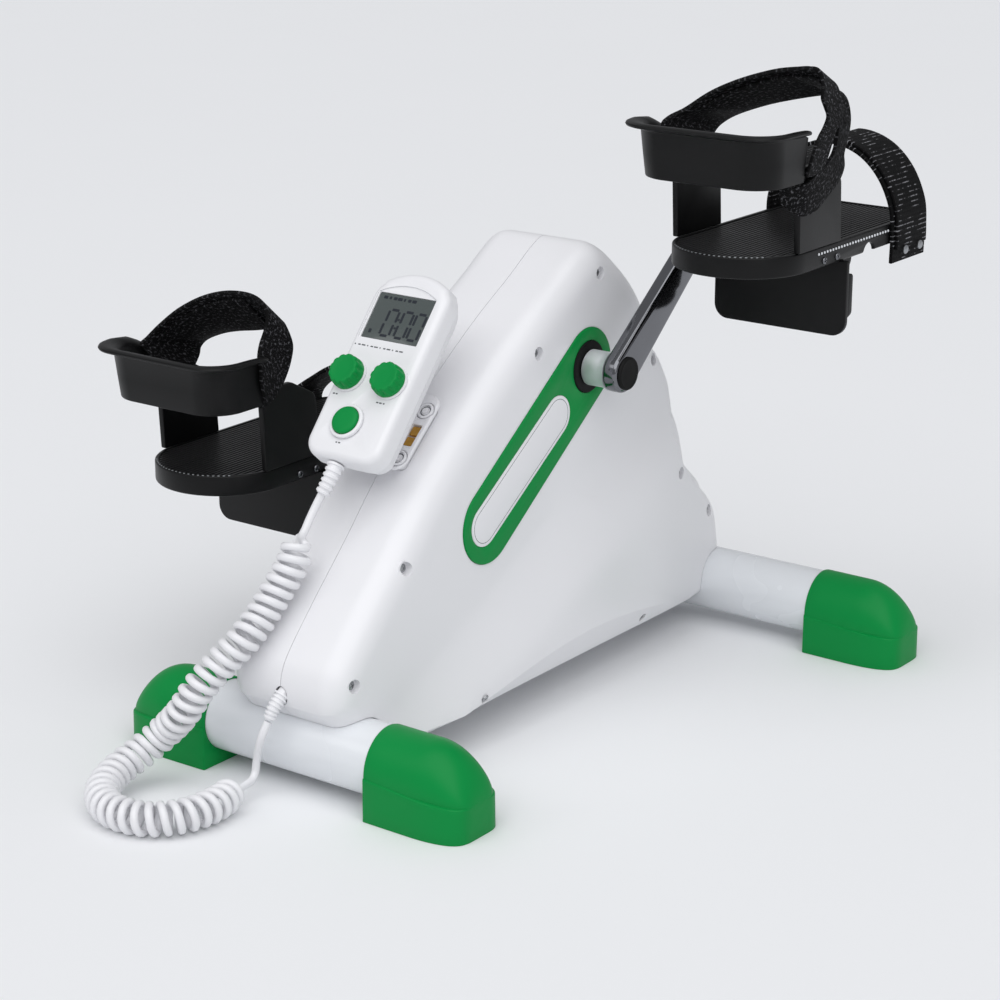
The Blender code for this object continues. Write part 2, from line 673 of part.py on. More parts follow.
def build_foot_pad(label, side, axis, paints):
    """A mat with lengthwise ribs, trimmed to the plate's inner outline."""
    pitch = 2 * PAD_HALF / PAD_RIBS
    profile = [(-PAD_HALF, 12.3), (PAD_HALF, 12.3)]
    for rib in range(PAD_RIBS):
        edge = PAD_HALF - rib * pitch
        valley = edge - pitch * 0.62
        profile += [(edge, 15.2), (valley, 15.2), (valley, 14.0), (edge - pitch, 14.0)]
    pad = piece("foot_pad_" + label, prism(profile, -120, 120, "Y"), paints["rubber"], axis, side)
    trim = prism(footplate_outline(PEDAL_RIM + 0.4), 10, 20)
    combine(pad, "INTERSECT", tool("pad_outline_" + label, trim, axis, side))


def cup_path(half, back):
    """The heel cup from above: straight sides and a back with rounded corners."""
    left = arc((CUP_CORNER - half, back + CUP_CORNER), CUP_CORNER, 180, 270, 7)
    right = arc((half - CUP_CORNER, back + CUP_CORNER), CUP_CORNER, 270, 360, 7)
    return [(-half, CUP_END_Y)] + left + right + [(half, CUP_END_Y)]


def build_heel_cup(label, side, axis, paints):
    sections = (
        (49.7, -122.5, CUP_BOTTOM), (53.0, -125.8, CUP_BOTTOM), (55.4, -129.0, CUP_TOP - 5),
        (61.5, -136.0, CUP_TOP - 2.4), (62.2, -137.0, CUP_TOP), (57.0, -131.0, CUP_TOP - 0.4),
        (52.2, -126.0, CUP_TOP - 5),
    )
    body = bmesh.new()
    rows = [[body.verts.new((a, b, z)) for a, b in cup_path(half, back)] for half, back, z in sections]
    for lower, upper in zip(rows, rows[1:] + rows[:1]):
        for index in range(len(lower) - 1):
            body.faces.new((lower[index], lower[index + 1], upper[index + 1], upper[index]))
    body.faces.new([row[0] for row in rows])
    body.faces.new([row[-1] for row in reversed(rows)])
    cup = piece("heel_cup_" + label, body, paints["black"], axis, side)
    foot = PEDAL_RIM_TOP + GAP
    post = rounded([(-78, foot, 1), (-17, foot, 1), (-20, 60, 12), (-46, 75, 12), (-78, 75, 2)])
    for name, edge in (("outer", 1), ("inner", -1)):
        low, high = sorted((46.7 * edge, 51.2 * edge))
        combine(cup, "UNION", tool("cup_post_%s_%s" % (name, label), prism(post, low, high, "X"), axis, side))


def build_guard(label, side, axis, paints):
    """The plate that hangs under the footplate, with the boss that turns on the spindle."""
    outline = rounded([(-54, 0.7, 1), (-54, -GUARD_DEPTH, 11), (54, -GUARD_DEPTH, 11), (54, 0.7, 1)])
    guard = piece("guard_plate_" + label, prism(outline, -12, -8, "Y"), paints["black"], axis, side)
    combine(guard, "UNION", tool("spindle_boss_" + label, turned([(-46, 9), (46, 9)], 24), axis, side))
    bore = turned([(-50, SPINDLE_RADIUS + 0.4), (45, SPINDLE_RADIUS + 0.4)], 20)
    combine(guard, "DIFFERENCE", tool("spindle_bore_" + label, bore, axis, side))


def sunk(outline, drop):
    """A strap's far edge, which lies lower than its near one, the more so the higher it is over the foot."""
    foot, top = 66.0, 140.0
    return [(a, b - drop * min(1.0, max(0.0, (b - foot) / (top - foot)))) for a, b in outline]


def build_strap(name, route, low, high, drop, axis, side, material):
    """A band of even thickness along its route, from low to high, its far edge let down by drop."""
    path = curve_through([(a, b, 0) for a, b in route], 2)
    normals = [Vector((-tangent.y, tangent.x, 0)) for tangent, _, _ in frames_along(path)]
    outer = [point + normal * STRAP_HALF for point, normal in zip(path, normals)]
    inner = [point - normal * STRAP_HALF for point, normal in zip(path, normals)]
    outline = [(point.x, point.y) for point in outer + inner[::-1]]
    band = loft([place(outline, low, "Y"), place(sunk(outline, drop), high, "Y")])
    piece(name, band, material, axis, side)


def build_pedals(paints):
    for side, label in ((1, "right"), (-1, "left")):
        y = HUB[0] + side * CRANK_LENGTH * math.cos(CRANK_ANGLE)
        z = HUB[1] + side * CRANK_LENGTH * math.sin(CRANK_ANGLE)
        axis = anchor("pedal_axis_" + label, (side * PEDAL_CENTRE, y, z))
        build_footplate(label, side, axis, paints)
        build_foot_pad(label, side, axis, paints)
        build_heel_cup(label, side, axis, paints)
        build_guard(label, side, axis, paints)
        # The photo shows both instep straps pulled over to the machine's right
        build_strap("instep_strap_" + label, INSTEP_ROUTE, -60, -17, INSTEP_DROP, axis, 1, paints["fabric"])
        build_strap("toe_strap_" + label, TOE_ROUTE, 56, 106, 0, axis, side, paints["fabric"])


# Cradle on the front slope
def dock_outline():
    """Side view of the wedge between the cradle and the handset's back."""
    turn = HANDSET_PITCH - CRADLE_PITCH
    lift = Matrix.Rotation(-CRADLE_PITCH, 3, "X") @ (Vector(HANDSET_ORIGIN) - Vector(CRADLE_ORIGIN))
    foot = CRADLE_THICKNESS - 3
    outline = [(-21, foot), (23, foot)]
    return outline + [(along, lift.z - 0.5 + (along - lift.y) * math.tan(turn)) for along in (23, -21)]


def build_cradle(paints):
    seat = anchor("cradle_frame", CRADLE_ORIGIN, CRADLE_PITCH)
    top = CRADLE_THICKNESS
    levels = ((-CRADLE_SUNK, 0), (top - 2, 0), (top - 0.6, 0.6), (top, 2))
    rings = []
    for z, inward in levels:
        half_x, half_y = (half - inward for half in CRADLE_HALF)
        rings.append(place(box_outline((0, 0), half_x, half_y, CRADLE_CORNER - inward), z, "Z"))
    cradle = piece("cradle", loft(rings), paints["white"], seat)
    combine(cradle, "UNION", tool("dock_block", prism(dock_outline(), -12, 12, "X"), seat))
    floor = top - CONTACT_DEPTH
    window = prism(box_outline(CONTACT_WINDOW, 4.4, 9, 1), floor, 20)
    combine(cradle, "DIFFERENCE", tool("contact_window", window, seat))
    for number, offset in ((1, -4.4), (2, 4.4)):
        outline = box_outline((CONTACT_WINDOW[0], CONTACT_WINDOW[1] + offset), 3.8, 3.6, 0.8)
        strip = prism(outline, floor + GAP, top - 1.5)
        piece("contact_strip_%d" % number, strip, paints["brass"], seat)


# Handset
def handset_outline(inward):
    """Front view: a straight foot with rounded corners and an arched head."""
    half = HANDSET_HALF_WIDTH - inward
    end = HANDSET_HALF_LENGTH - inward
    corner = HANDSET_CORNER - inward
    radius = (half ** 2 + HANDSET_CROWN ** 2) / (2 * HANDSET_CROWN)
    spread = math.degrees(math.asin((half - 2.5) / radius))
    foot = arc((corner - half, corner - end), corner, 180, 270, 3)
    foot += arc((half - corner, corner - end), corner, 270, 360, 3)
    head = arc((0, end - radius), radius, 90 - spread, 90 + spread, 10)
    shoulder = end - HANDSET_CROWN
    right = [(half, shoulder - 4), (half - 0.7, shoulder)]
    left = [(-across, along) for across, along in reversed(right)]
    return foot + right + head + left


def fluted_outline(radius, depth):
    """A knob seen from its end."""
    points = []
    for step in range(KNOB_FLUTES * 4):
        turn = 2 * math.pi * step / (KNOB_FLUTES * 4)
        reach = radius - depth * (0.5 - 0.5 * math.cos(KNOB_FLUTES * turn))
        points.append((reach * math.cos(turn), reach * math.sin(turn)))
    return points


def handset_case(levels):
    return loft([place(handset_outline(inward), z, "Z") for z, inward in levels])


def build_handset_case(body, paints):
    face = HANDSET_FACE
    back = ((0, 3.0), (0.9, 1.4), (3.0, 0.5), (HANDSET_PARTING - GAP, 0))
    piece("handset_back", handset_case(back), paints["white"], body)
    shell = ((HANDSET_PARTING, 0), (face - 5, 0.4), (face - 2, 1.2), (face - 0.6, 2.6), (face, 4.4))
    front = piece("handset_front", handset_case(shell), paints["white"], body)
    x, y = DISPLAY_CENTRE
    half_x, half_y = DISPLAY_HALF
    lintel = arc((x, y - 24), 48.5, 60, 120, 8)
    ledge = y - half_y - 1
    frame = [(x + half_x + 1, ledge)] + lintel + [(x - half_x - 1, ledge)]
    combine(front, "DIFFERENCE", tool("display_sill", prism(frame, face - 1, face + 5), body))
    well = prism(box_outline(DISPLAY_CENTRE, half_x, half_y, 0.5), face - 3.5, face + 5)
    combine(front, "DIFFERENCE", tool("display_well", well, body))
    screen = prism(box_outline(DISPLAY_CENTRE, half_x - GAP, half_y - GAP, 0.3), face - 3.5 + GAP, face - 1.6)
    piece("display", screen, paints["display"], body)
    floor = face - BUTTON_TRAVEL * 2 - GAP
    bore = turned([(floor, BUTTON_BORE), (face + 5, BUTTON_BORE)], 24, "Z", BUTTON_PLACE)
    combine(front, "DIFFERENCE", tool("button_well", bore, body))


def build_controls(body, paints):
    face = HANDSET_FACE
    for number, (x, y) in enumerate(KNOB_PLACES, 1):
        top = face + 1.9
        profile = [(face + GAP, COLLAR_RADIUS), (top - 0.5, COLLAR_RADIUS), (top, COLLAR_RADIUS - 0.6)]
        piece("knob_collar_%d" % number, turned(profile, 24, "Z", (x, y)), paints["white"], body)
        axis = anchor("knob_axis_%d" % number, (x, y, 0), parent=body)
        levels = ((top + GAP, 0), (face + 9.5, 0.6), (face + 11, 1.7))
        rings = [place(fluted_outline(KNOB_RADIUS - inward, 0.9), z, "Z") for z, inward in levels]
        piece("knob_%d" % number, loft(rings), paints["green"], axis)
    top = face + 2.8
    section = [(face + GAP, BUTTON_BORE), (face + GAP, COLLAR_RADIUS), (top - 0.6, COLLAR_RADIUS)]
    section += [(top, COLLAR_RADIUS - 0.6), (top, BUTTON_BORE)]
    piece("button_collar", turned_ring(section, 24, "Z", BUTTON_PLACE), paints["white"], body)
    button = [(face - BUTTON_TRAVEL, BUTTON_RADIUS), (face + 3.8, BUTTON_RADIUS)]
    button += [(face + 4.7, BUTTON_RADIUS - 1.2), (face + 5.1, 4)]
    piece("push_button", turned(button, 24, "Z", BUTTON_PLACE), paints["green"], body)


def build_handset(paints):
    body = anchor("handset_frame", HANDSET_ORIGIN, HANDSET_PITCH)
    build_handset_case(body, paints)
    build_controls(body, paints)
    relief = swept(HANDSET_RELIEF_ROUTE, ribs(0, RELIEF_RADIUS, 5), 10)
    piece("handset_cord_relief", relief, paints["white"], body)


# Cord: its reliefs' ribs, a short lead, the curly stretch and the lead to the housing's nose
def ribs(start, radius, count):
    """Profile of a strain relief whose ribs get thinner away from its root."""
    profile = []
    for rib in range(count):
        root = start + rib * RIB_PITCH
        outer = radius - rib * 0.4
        neck = outer - 1.4
        profile += [(root, outer), (root + RIB_PITCH * 0.5, outer)]
        profile += [(root + RIB_PITCH * 0.6, neck), (root + RIB_PITCH - 0.2, neck)]
    return profile


def cord_tube(name, points, resolution, material):
    curve = bpy.data.curves.new(name, "CURVE")
    curve.dimensions = "3D"
    curve.bevel_depth = CORD_RADIUS * MM
    curve.bevel_resolution = resolution
    curve.use_fill_caps = True
    curve.materials.append(material)
    spline = curve.splines.new("POLY")
    spline.points.add(len(points) - 1)
    spline.use_smooth = True
    for target, point in zip(spline.points, points):
        target.co = (*(point * MM), 1)
    bpy.context.collection.objects.link(bpy.data.objects.new(name, curve))


def curls(spine_route):
    """A helix round a route, drawn in to the route at both ends, where it runs straight."""
    stub = 2 * CORD_RADIUS
    length = length_of(spine_route)
    fine = evenly(spine_route, int(length * 4))
    lead = max(1, round(stub / length * len(fine)))
    spine = evenly(fine[lead:-lead], CURL_COUNT * CURL_POINTS + 1)
    last = len(spine) - 1
    points = [fine[0]]
    for index, (point, (_, side, up)) in enumerate(zip(spine, frames_along(spine))):
        radius = CURL_RADIUS * smooth_step(min(index, last - index) / CURL_POINTS)
        turn = 2 * math.pi * index / CURL_POINTS
        points.append(point + side * (radius * math.cos(turn)) + up * (radius * math.sin(turn)))
    return points + [fine[-1]]


def least_gap(points):
    """The smallest clear space between one curl and the next, in millimetres."""
    dense = np.array([tuple(a.lerp(b, share / 4)) for a, b in zip(points, points[1:]) for share in range(4)])
    steps = np.sqrt(((dense[1:] - dense[:-1]) ** 2).sum(1))
    reach = np.concatenate(([0.0], np.cumsum(steps)))
    least = 1e9
    for index in range(len(dense)):
        far = reach > reach[index] + 5 * CORD_RADIUS
        if far.any():
            least = min(least, float(np.sqrt(((dense[far] - dense[index]) ** 2).sum(1)).min()))
    return least - 2 * CORD_RADIUS


def build_cord(paints):
    steps = 12
    route = curve_through(CORD_ROUTE, steps)
    first = route[:CURLS_FROM * steps + 1]
    middle = route[CURLS_FROM * steps:CURLS_TO * steps + 1]
    last = route[CURLS_TO * steps:]
    middle[0] = middle[0].lerp(middle[1], GAP / (middle[1] - middle[0]).length)
    middle[-1] = middle[-1].lerp(middle[-2], GAP / (middle[-2] - middle[-1]).length)
    cord_tube("cord_upper", evenly(first, 4), 2, paints["white"])
    curled = curls(middle)
    cord_tube("curly_cord", curled, 1, paints["white"])
    cord_tube("cord_lower", evenly(last, 8), 2, paints["white"])
    print("curly cord: least gap between curls %.2f mm" % least_gap(curled))
    stem = [(distance, RELIEF_RADIUS - 1.2) for distance in (0, 5, 10)]
    relief = swept(NOSE_RELIEF_ROUTE, stem + ribs(RELIEF_STEM, RELIEF_RADIUS - 0.5, 3), 10)
    piece("nose_cord_relief", relief, paints["white"])


def main():
    for obj in list(bpy.data.objects):
        bpy.data.objects.remove(obj)
    paints = make_paints()
    build_base(paints)
    build_housing(paints)
    for side, label in ((1, "right"), (-1, "left")):
        build_side_trim(label, side, paints)
    build_drive(paints)
    build_crank(paints)
    build_pedals(paints)
    build_cradle(paints)
    build_handset(paints)
    build_cord(paints)


main()
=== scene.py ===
"""Electric pedal exerciser: its looks over the CAD frame, laid out as a Blender add-on and run as a script.

X points to the machine's right, Y to its rear and Z up. The user sits at -Y. Pieces are modelled in
millimetres and settle() turns them to metres, with their place in the mesh.
"""
import json
import math

import bmesh
import bpy
import numpy as np
from mathutils import Matrix, Vector


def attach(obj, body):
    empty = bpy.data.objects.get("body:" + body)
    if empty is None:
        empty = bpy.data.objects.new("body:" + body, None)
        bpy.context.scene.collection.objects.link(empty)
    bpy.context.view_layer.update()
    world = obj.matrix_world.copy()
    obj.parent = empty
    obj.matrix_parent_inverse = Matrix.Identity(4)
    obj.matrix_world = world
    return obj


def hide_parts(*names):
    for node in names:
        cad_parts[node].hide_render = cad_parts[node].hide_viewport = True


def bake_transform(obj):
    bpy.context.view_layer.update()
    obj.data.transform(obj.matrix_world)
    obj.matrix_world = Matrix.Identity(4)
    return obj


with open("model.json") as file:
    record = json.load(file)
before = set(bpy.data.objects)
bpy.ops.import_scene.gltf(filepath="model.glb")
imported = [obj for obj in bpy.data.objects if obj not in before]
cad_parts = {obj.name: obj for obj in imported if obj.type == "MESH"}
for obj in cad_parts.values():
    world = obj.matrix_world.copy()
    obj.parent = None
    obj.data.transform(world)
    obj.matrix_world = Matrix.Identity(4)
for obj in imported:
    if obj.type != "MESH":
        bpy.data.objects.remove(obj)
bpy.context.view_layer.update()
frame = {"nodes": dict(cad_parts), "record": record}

bl_info = {
    "name": "Electric pedal exerciser",
    "version": (1, 0, 0),
    "blender": (4, 5, 0),
    "location": "View3D > Sidebar > Exerciser",
    "description": "Builds the looks of an electric pedal exerciser over its CAD frame",
    "category": "Add Mesh",
}

MM = 0.001
SIDES = ((1, "right"), (-1, "left"))

# Places shared with the frame, in millimetres
TUBE_RADIUS = 25.0
TUBE_BORE = 23.0
TUBE_AXIS_HEIGHT = 32.9
AXLE_SPACING = 444.0
CAP_LENGTH = 77.0
CAP_HALF = 27.4
CAP_TOP = 59.4
CAP_FACES = {"front": 70.2, "rear": 145.8}
HUB = (36.0, 246.5)
CRANK_LENGTH = 129.0
CRANK_ANGLE = math.radians(39.0)
ARM_HUB_END = 14.5
ARM_PEDAL_END = 11.0
ARM_FACES = (72.0, 84.0)
PEDAL_CENTRE = 155.0
HANDSET_LEAN = math.radians(49.8)
CRADLE_LEAN = math.radians(41.0)
HANDSET_FRAME = Matrix.Translation((0, -120.3, 260)) @ Matrix.Rotation(HANDSET_LEAN, 4, "X")
CRADLE_FRAME = Matrix.Translation((0, -118.3, 221.8)) @ Matrix.Rotation(CRADLE_LEAN, 4, "X")
ALONG_X = Matrix(((0, 0, 1, 0), (1, 0, 0, 0), (0, 1, 0, 0), (0, 0, 0, 1)))
ALONG_Y = Matrix(((1, 0, 0, 0), (0, 0, 1, 0), (0, 1, 0, 0), (0, 0, 0, 1)))
FLIPS = [Matrix.Scale(side, 4, (1, 0, 0)) for side, _ in SIDES]

# Housing, seen from the side as (y, z), from under the nose over the top and down the back
HOUSING_SIDE_VIEW = (
    (-241, 58.5), (-246.5, 65), (-248, 76), (-246, 88), (-238, 101), (-211, 130), (-179, 162),
    (-146, 197), (-111, 229), (-76, 257), (-32, 287), (9.5, 311.4), (34, 327), (50, 333.5),
    (66, 328), (82, 316.5), (100, 301), (116, 282), (127, 260), (135, 243), (145, 232), (152, 220),
    (158, 206), (170, 189), (185, 163), (196.5, 136), (206, 117), (218, 106), (228, 93), (233, 77),
    (236, 57.5),
)
HOUSING_UNDERSIDE = ((225, 40), (205, 27), (0, 27), (-205, 27), (-225, 40), (-241, 58.5))
HOUSING_CENTRE = (10.0, 158.7)
HOUSING_HALF = 50.0
HOUSING_WALL = 3.0
HOUSING_BOTTOM = 27.0
SEAM_HALF = 0.2

# The edge beside the seam is rounded more from some height on, and leads to a band that lies this deep
FILLET_LOW = 5.0
FILLET_HIGH = 20.0
FILLET_FROM = 30.0
FILLET_OVER = 32.0
BAND_DEPTH = 26.0

# The flank below its crease, the finger hollow at the back and the arch underneath
CREASE_HEIGHT = 153.7
CREASE_SLOPE = 0.498
BULGE = 15.0
BULGE_OVER = 70.0
BULGE_END = 110.0
BULGE_FADE = 105.0
GRIP_CENTRE = (176.0, 165.0)
GRIP_LEAN = math.radians(119)
GRIP_HALF = (54.0, 26.0)
GRIP_STEEPNESS = 2.6
GRIP_DEPTH = 11.0
ARCH_CENTRE = 30.0
ARCH_HALF = 175.0
ARCH_TOP = 25.0
ARCH_LEAST = 5.5
UNDERSIDE_HALF = 54.0

# Holes and trim of the housing, their places as (y, z)
POCKET_HALF = (19.9, 26.3)
POCKET_FLOOR = -1.3
SEAT_RADIUS = 4.8
SEAT_DEPTH = 4.2
SCREW_HOLES = ((51, 312), (-24, 268), (-173, 150), (-230, 84), (125, 233), (150, 140), (209, 93))
UNDER_SCREWS = ((-104.0, 37.0), (101.0, 37.0))
UNDER_SEAT_RADIUS = 3.6
UNDER_SEAT_DEPTH = 2.2
HUB_HOLE_RADIUS = 19.3
TRIM_LOW = (-84.0, 158.5)
TRIM_RADIUS = 28.5
LABEL_LOW = (-89.0, 159.0)
LABEL_HIGH = (-2.5, 218.0)
LABEL_RADIUS = 15.0

# The cord's whole route in metres: handset relief, curly stretch, lead to the nose. Both ends lie as in the
# frame, and the hook on the floor lies a little nearer to the machine, as photographed.
CORD_ROUTE = (
    (-0.01, -0.1902, 0.1959), (-0.0121, -0.195, 0.1872), (-0.0132, -0.201, 0.178),
    (-0.0138, -0.209, 0.1658), (-0.015, -0.2175, 0.151), (-0.019, -0.2275, 0.136),
    (-0.023, -0.24, 0.12), (-0.027, -0.253, 0.107), (-0.037, -0.264, 0.092),
    (-0.048, -0.2755, 0.0745), (-0.0582, -0.2815, 0.056), (-0.0737, -0.2825, 0.0395),
    (-0.0839, -0.2936, 0.027), (-0.088, -0.3131, 0.019), (-0.082, -0.3346, 0.0145),
    (-0.0665, -0.3496, 0.0125), (-0.0455, -0.3551, 0.0125), (-0.0245, -0.3496, 0.0125),
    (-0.01, -0.3321, 0.013), (-0.0065, -0.3101, 0.013), (-0.01, -0.2891, 0.0125),
    (-0.0117, -0.2726, 0.0127), (-0.0131, -0.2646, 0.0129), (-0.0142, -0.2596, 0.0165),
    (-0.0134, -0.259, 0.024), (-0.0111, -0.26, 0.032), (-0.0076, -0.2615, 0.04),
    (-0.0048, -0.261, 0.048), (-0.0031, -0.2578, 0.0555),
)
NOSE_RELIEF_ROUTE = ((1.2, -241.4, 76.9), (0, -248.3, 70.5), (-1.4, -254, 64), (-3, -257.5, 56))
HANDSET_RELIEF_ROUTE = ((-6, -72.5, 15.8), (-6.1, -78, 15.7), (-7.4, -86, 14.2), (-9.9, -93.6, 12.1))
CURLS_FROM = 2
CURLS_TO = 21
CURL_COUNT = 46
CURL_POINTS = 16
CURL_STRETCH = 1.6


def linear(code):
    """A hex sRGB colour as linear red, green and blue."""
    channels = [int(code[place:place + 2], 16) / 255 for place in (1, 3, 5)]
    return [c / 12.92 if c <= 0.04045 else ((c + 0.055) / 1.055) ** 2.4 for c in channels]


def colour_property(name, code, description):
    return bpy.props.FloatVectorProperty(
        name=name, description=description, subtype="COLOR", size=3, min=0, max=1, default=linear(code))


class ExerciserColours(bpy.types.PropertyGroup):
    """Colours a user would change."""
    white: colour_property("White plastic", "#EAEAED", "Housing, handset and cradle")
    green: colour_property("Green plastic", "#038A40", "Foot caps, side trim, knobs and button")
    black: colour_property("Black plastic", "#0C0C0D", "Footplates, heel cups and guard plates")
    webbing: colour_property("Webbing", "#060607", "Instep and toe straps")
    enamel: colour_property("Tube enamel", "#E4E7EB", "Front and rear tube")
    screen: colour_property("Display", "#474F4E", "Background of the display")
    floor: colour_property("Floor", "#EFF0F2", "Studio floor")


class ExerciserSizes(bpy.types.PropertyGroup):
    """Sizes a user would change."""
    cord_diameter: bpy.props.FloatProperty(
        name="Cord", description="Diameter of the cord", default=0.0056, min=0.003, max=0.009, unit="LENGTH")
    curl_radius: bpy.props.FloatProperty(
        name="Curl radius", description="Radius of the curls at the middle of the cord",
        default=0.0093, min=0.006, max=0.012, unit="LENGTH")
    edge_round: bpy.props.FloatProperty(
        name="Edge rounding", description="Rounding of the white shells' edges", default=0.00035,
        min=0.0001, max=0.001, unit="LENGTH")


# Materials
# A wave texture at this scale has its crests one unit apart
WAVE_OF_ONE = 0.314
# Thread spacing of the webbing in millimetres, drawn coarser than real threads so that it shows
THREAD = 1.6


def add(tree, kind, inputs=None, **settings):
    """Adds a node with its settings and links."""
    new = tree.nodes.new(kind)
    for name, value in settings.items():
        setattr(new, name, value)
    for name, value in (inputs or {}).items():
        if isinstance(value, bpy.types.NodeSocket):
            tree.links.new(value, new.inputs[name])
        else:
            new.inputs[name].default_value = value
    return new


def blank_material(name, roughness, metallic=0.0):
    """A new material with its node tree and its shader."""
    material = bpy.data.materials.new(name)
    material.use_nodes = True
    shader = material.node_tree.nodes["Principled BSDF"]
    shader.inputs["Roughness"].default_value = roughness
    shader.inputs["Metallic"].default_value = metallic
    return material, material.node_tree, shader


def tinted(tree, shader, place, colour, spread, scale):
    """Lets the base colour drift a little over the piece, as in a real batch, by so many patches a metre."""
    drift = add(tree, "ShaderNodeTexNoise", {"Vector": place, "Scale": scale, "Detail": 2.0})
    dark = [channel * (1 - spread) for channel in colour]
    mix = add(tree, "ShaderNodeMix",
              {0: drift.outputs["Fac"], 6: (*dark, 1), 7: (*colour, 1)}, data_type="RGBA")
    tree.links.new(mix.outputs[2], shader.inputs["Base Color"])
    return drift


def roughened(tree, shader, source, low, high):
    """Spreads the roughness between two values by a texture."""
    spread = add(tree, "ShaderNodeMapRange", {"Value": source, "From Min": 0.3, "From Max": 0.7,
                                              "To Min": low, "To Max": high})
    tree.links.new(spread.outputs["Result"], shader.inputs["Roughness"])


def grained(tree, shader, place, scale, detail, relief):
    """Presses a fine grain into the surface, its relief in millimetres."""
    fine = add(tree, "ShaderNodeTexNoise", {"Vector": place, "Scale": scale, "Detail": detail})
    bump = add(tree, "ShaderNodeBump",
               {"Height": fine.outputs["Fac"], "Distance": relief * MM, "Strength": 1.0})
    tree.links.new(bump.outputs["Normal"], shader.inputs["Normal"])


def moulded(name, colour, roughness, grain, relief, spread=0.04, mirror=0.5):
    """Plastic from a mould: an even colour, a satin gloss and the mould's grain.

    Grain and relief are in millimetres. A real mould's grain is a few tenths of a millimetre wide, too fine
    to show, so it is drawn coarser here.
    """
    material, tree, shader = blank_material(name, roughness)
    place = add(tree, "ShaderNodeTexCoord").outputs["Object"]
    drift = tinted(tree, shader, place, colour, spread, 14.0)
    roughened(tree, shader, drift.outputs["Fac"], roughness - 0.04, roughness + 0.05)
    grained(tree, shader, place, 1 / (grain * MM), 3.0, relief)
    shader.inputs["IOR"].default_value = 1.53
    shader.inputs["Specular IOR Level"].default_value = mirror
    return material


def white_abs(colours):
    """ABS, injection moulded in a fine spark-eroded mould: cold white, satin, faintly grained."""
    return moulded("white_abs_moulded", colours.white, 0.33, 0.9, 0.012, 0.03)


def green_abs(colours):
    """ABS from a polished mould: strong green, glossy, with a faint flow pattern."""
    return moulded("green_abs_polished", colours.green, 0.42, 2.2, 0.01, 0.06, 0.14)


def black_polypropylene(colours):
    """Polypropylene with a leather-like fine grain: deep black, as the grain swallows half of the gloss."""
    return moulded("black_polypropylene_grained", colours.black, 0.4, 0.8, 0.06, 0.25, 0.2)


def black_rubber(colours):
    """Moulded rubber: dull, a little grey from dust in its grain."""
    return moulded("black_rubber_moulded", linear("#0D0D0E"), 0.7, 0.6, 0.06, 0.3, 0.2)


def white_cord(colours):
    """Soft PVC, extruded: smoother and glossier than the housing."""
    return moulded("white_pvc_extruded", colours.white, 0.3, 3.0, 0.01, 0.03)


def white_enamel(colours):
    """Powder coat on steel tube: glossy with a slight orange peel, about 2 mm from crest to crest."""
    material = moulded("white_powder_coat", colours.enamel, 0.24, 2.0, 0.03, 0.03)
    material.node_tree.nodes["Principled BSDF"].inputs["Coat Weight"].default_value = 0.25
    return material


def metal(name, code, roughness, scratch):
    """A bare or plated metal with turning marks, drawn about 1 mm apart so that they show."""
    material, tree, shader = blank_material(name, roughness, 1.0)
    place = add(tree, "ShaderNodeTexCoord").outputs["Object"]
    drift = tinted(tree, shader, place, linear(code), 0.12, 40.0)
    roughened(tree, shader, drift.outputs["Fac"], roughness * 0.8, roughness * 1.3)
    grained(tree, shader, place, 900.0, 2.0, scratch)
    return material


def chrome(colours):
    """Polished chrome, its colour darkened to paint in the reflection of dark surroundings: a dark mirror
    with thin bright edges.
    """
    return metal("chrome_painted_dark_reflection", "#77787C", 0.11, 0.001)


def satin_chrome(colours):
    """Chrome plate, satin: its mirror image spread by the brushing, its colour lightened to a painted bright
    reflection, beside the arm's darkened copy of the same chrome.
    """
    return metal("chrome_painted_bright_reflection", "#EDEEF2", 0.62, 0.002)


def zinc(colours):
    """Zinc-plated steel: grey, half dull."""
    return metal("zinc_plated_steel", "#A9ABAE", 0.34, 0.004)


def brass(colours):
    """Brass strip, rolled: warm and softly bright."""
    return metal("brass_rolled", "#C99A4A", 0.3, 0.003)


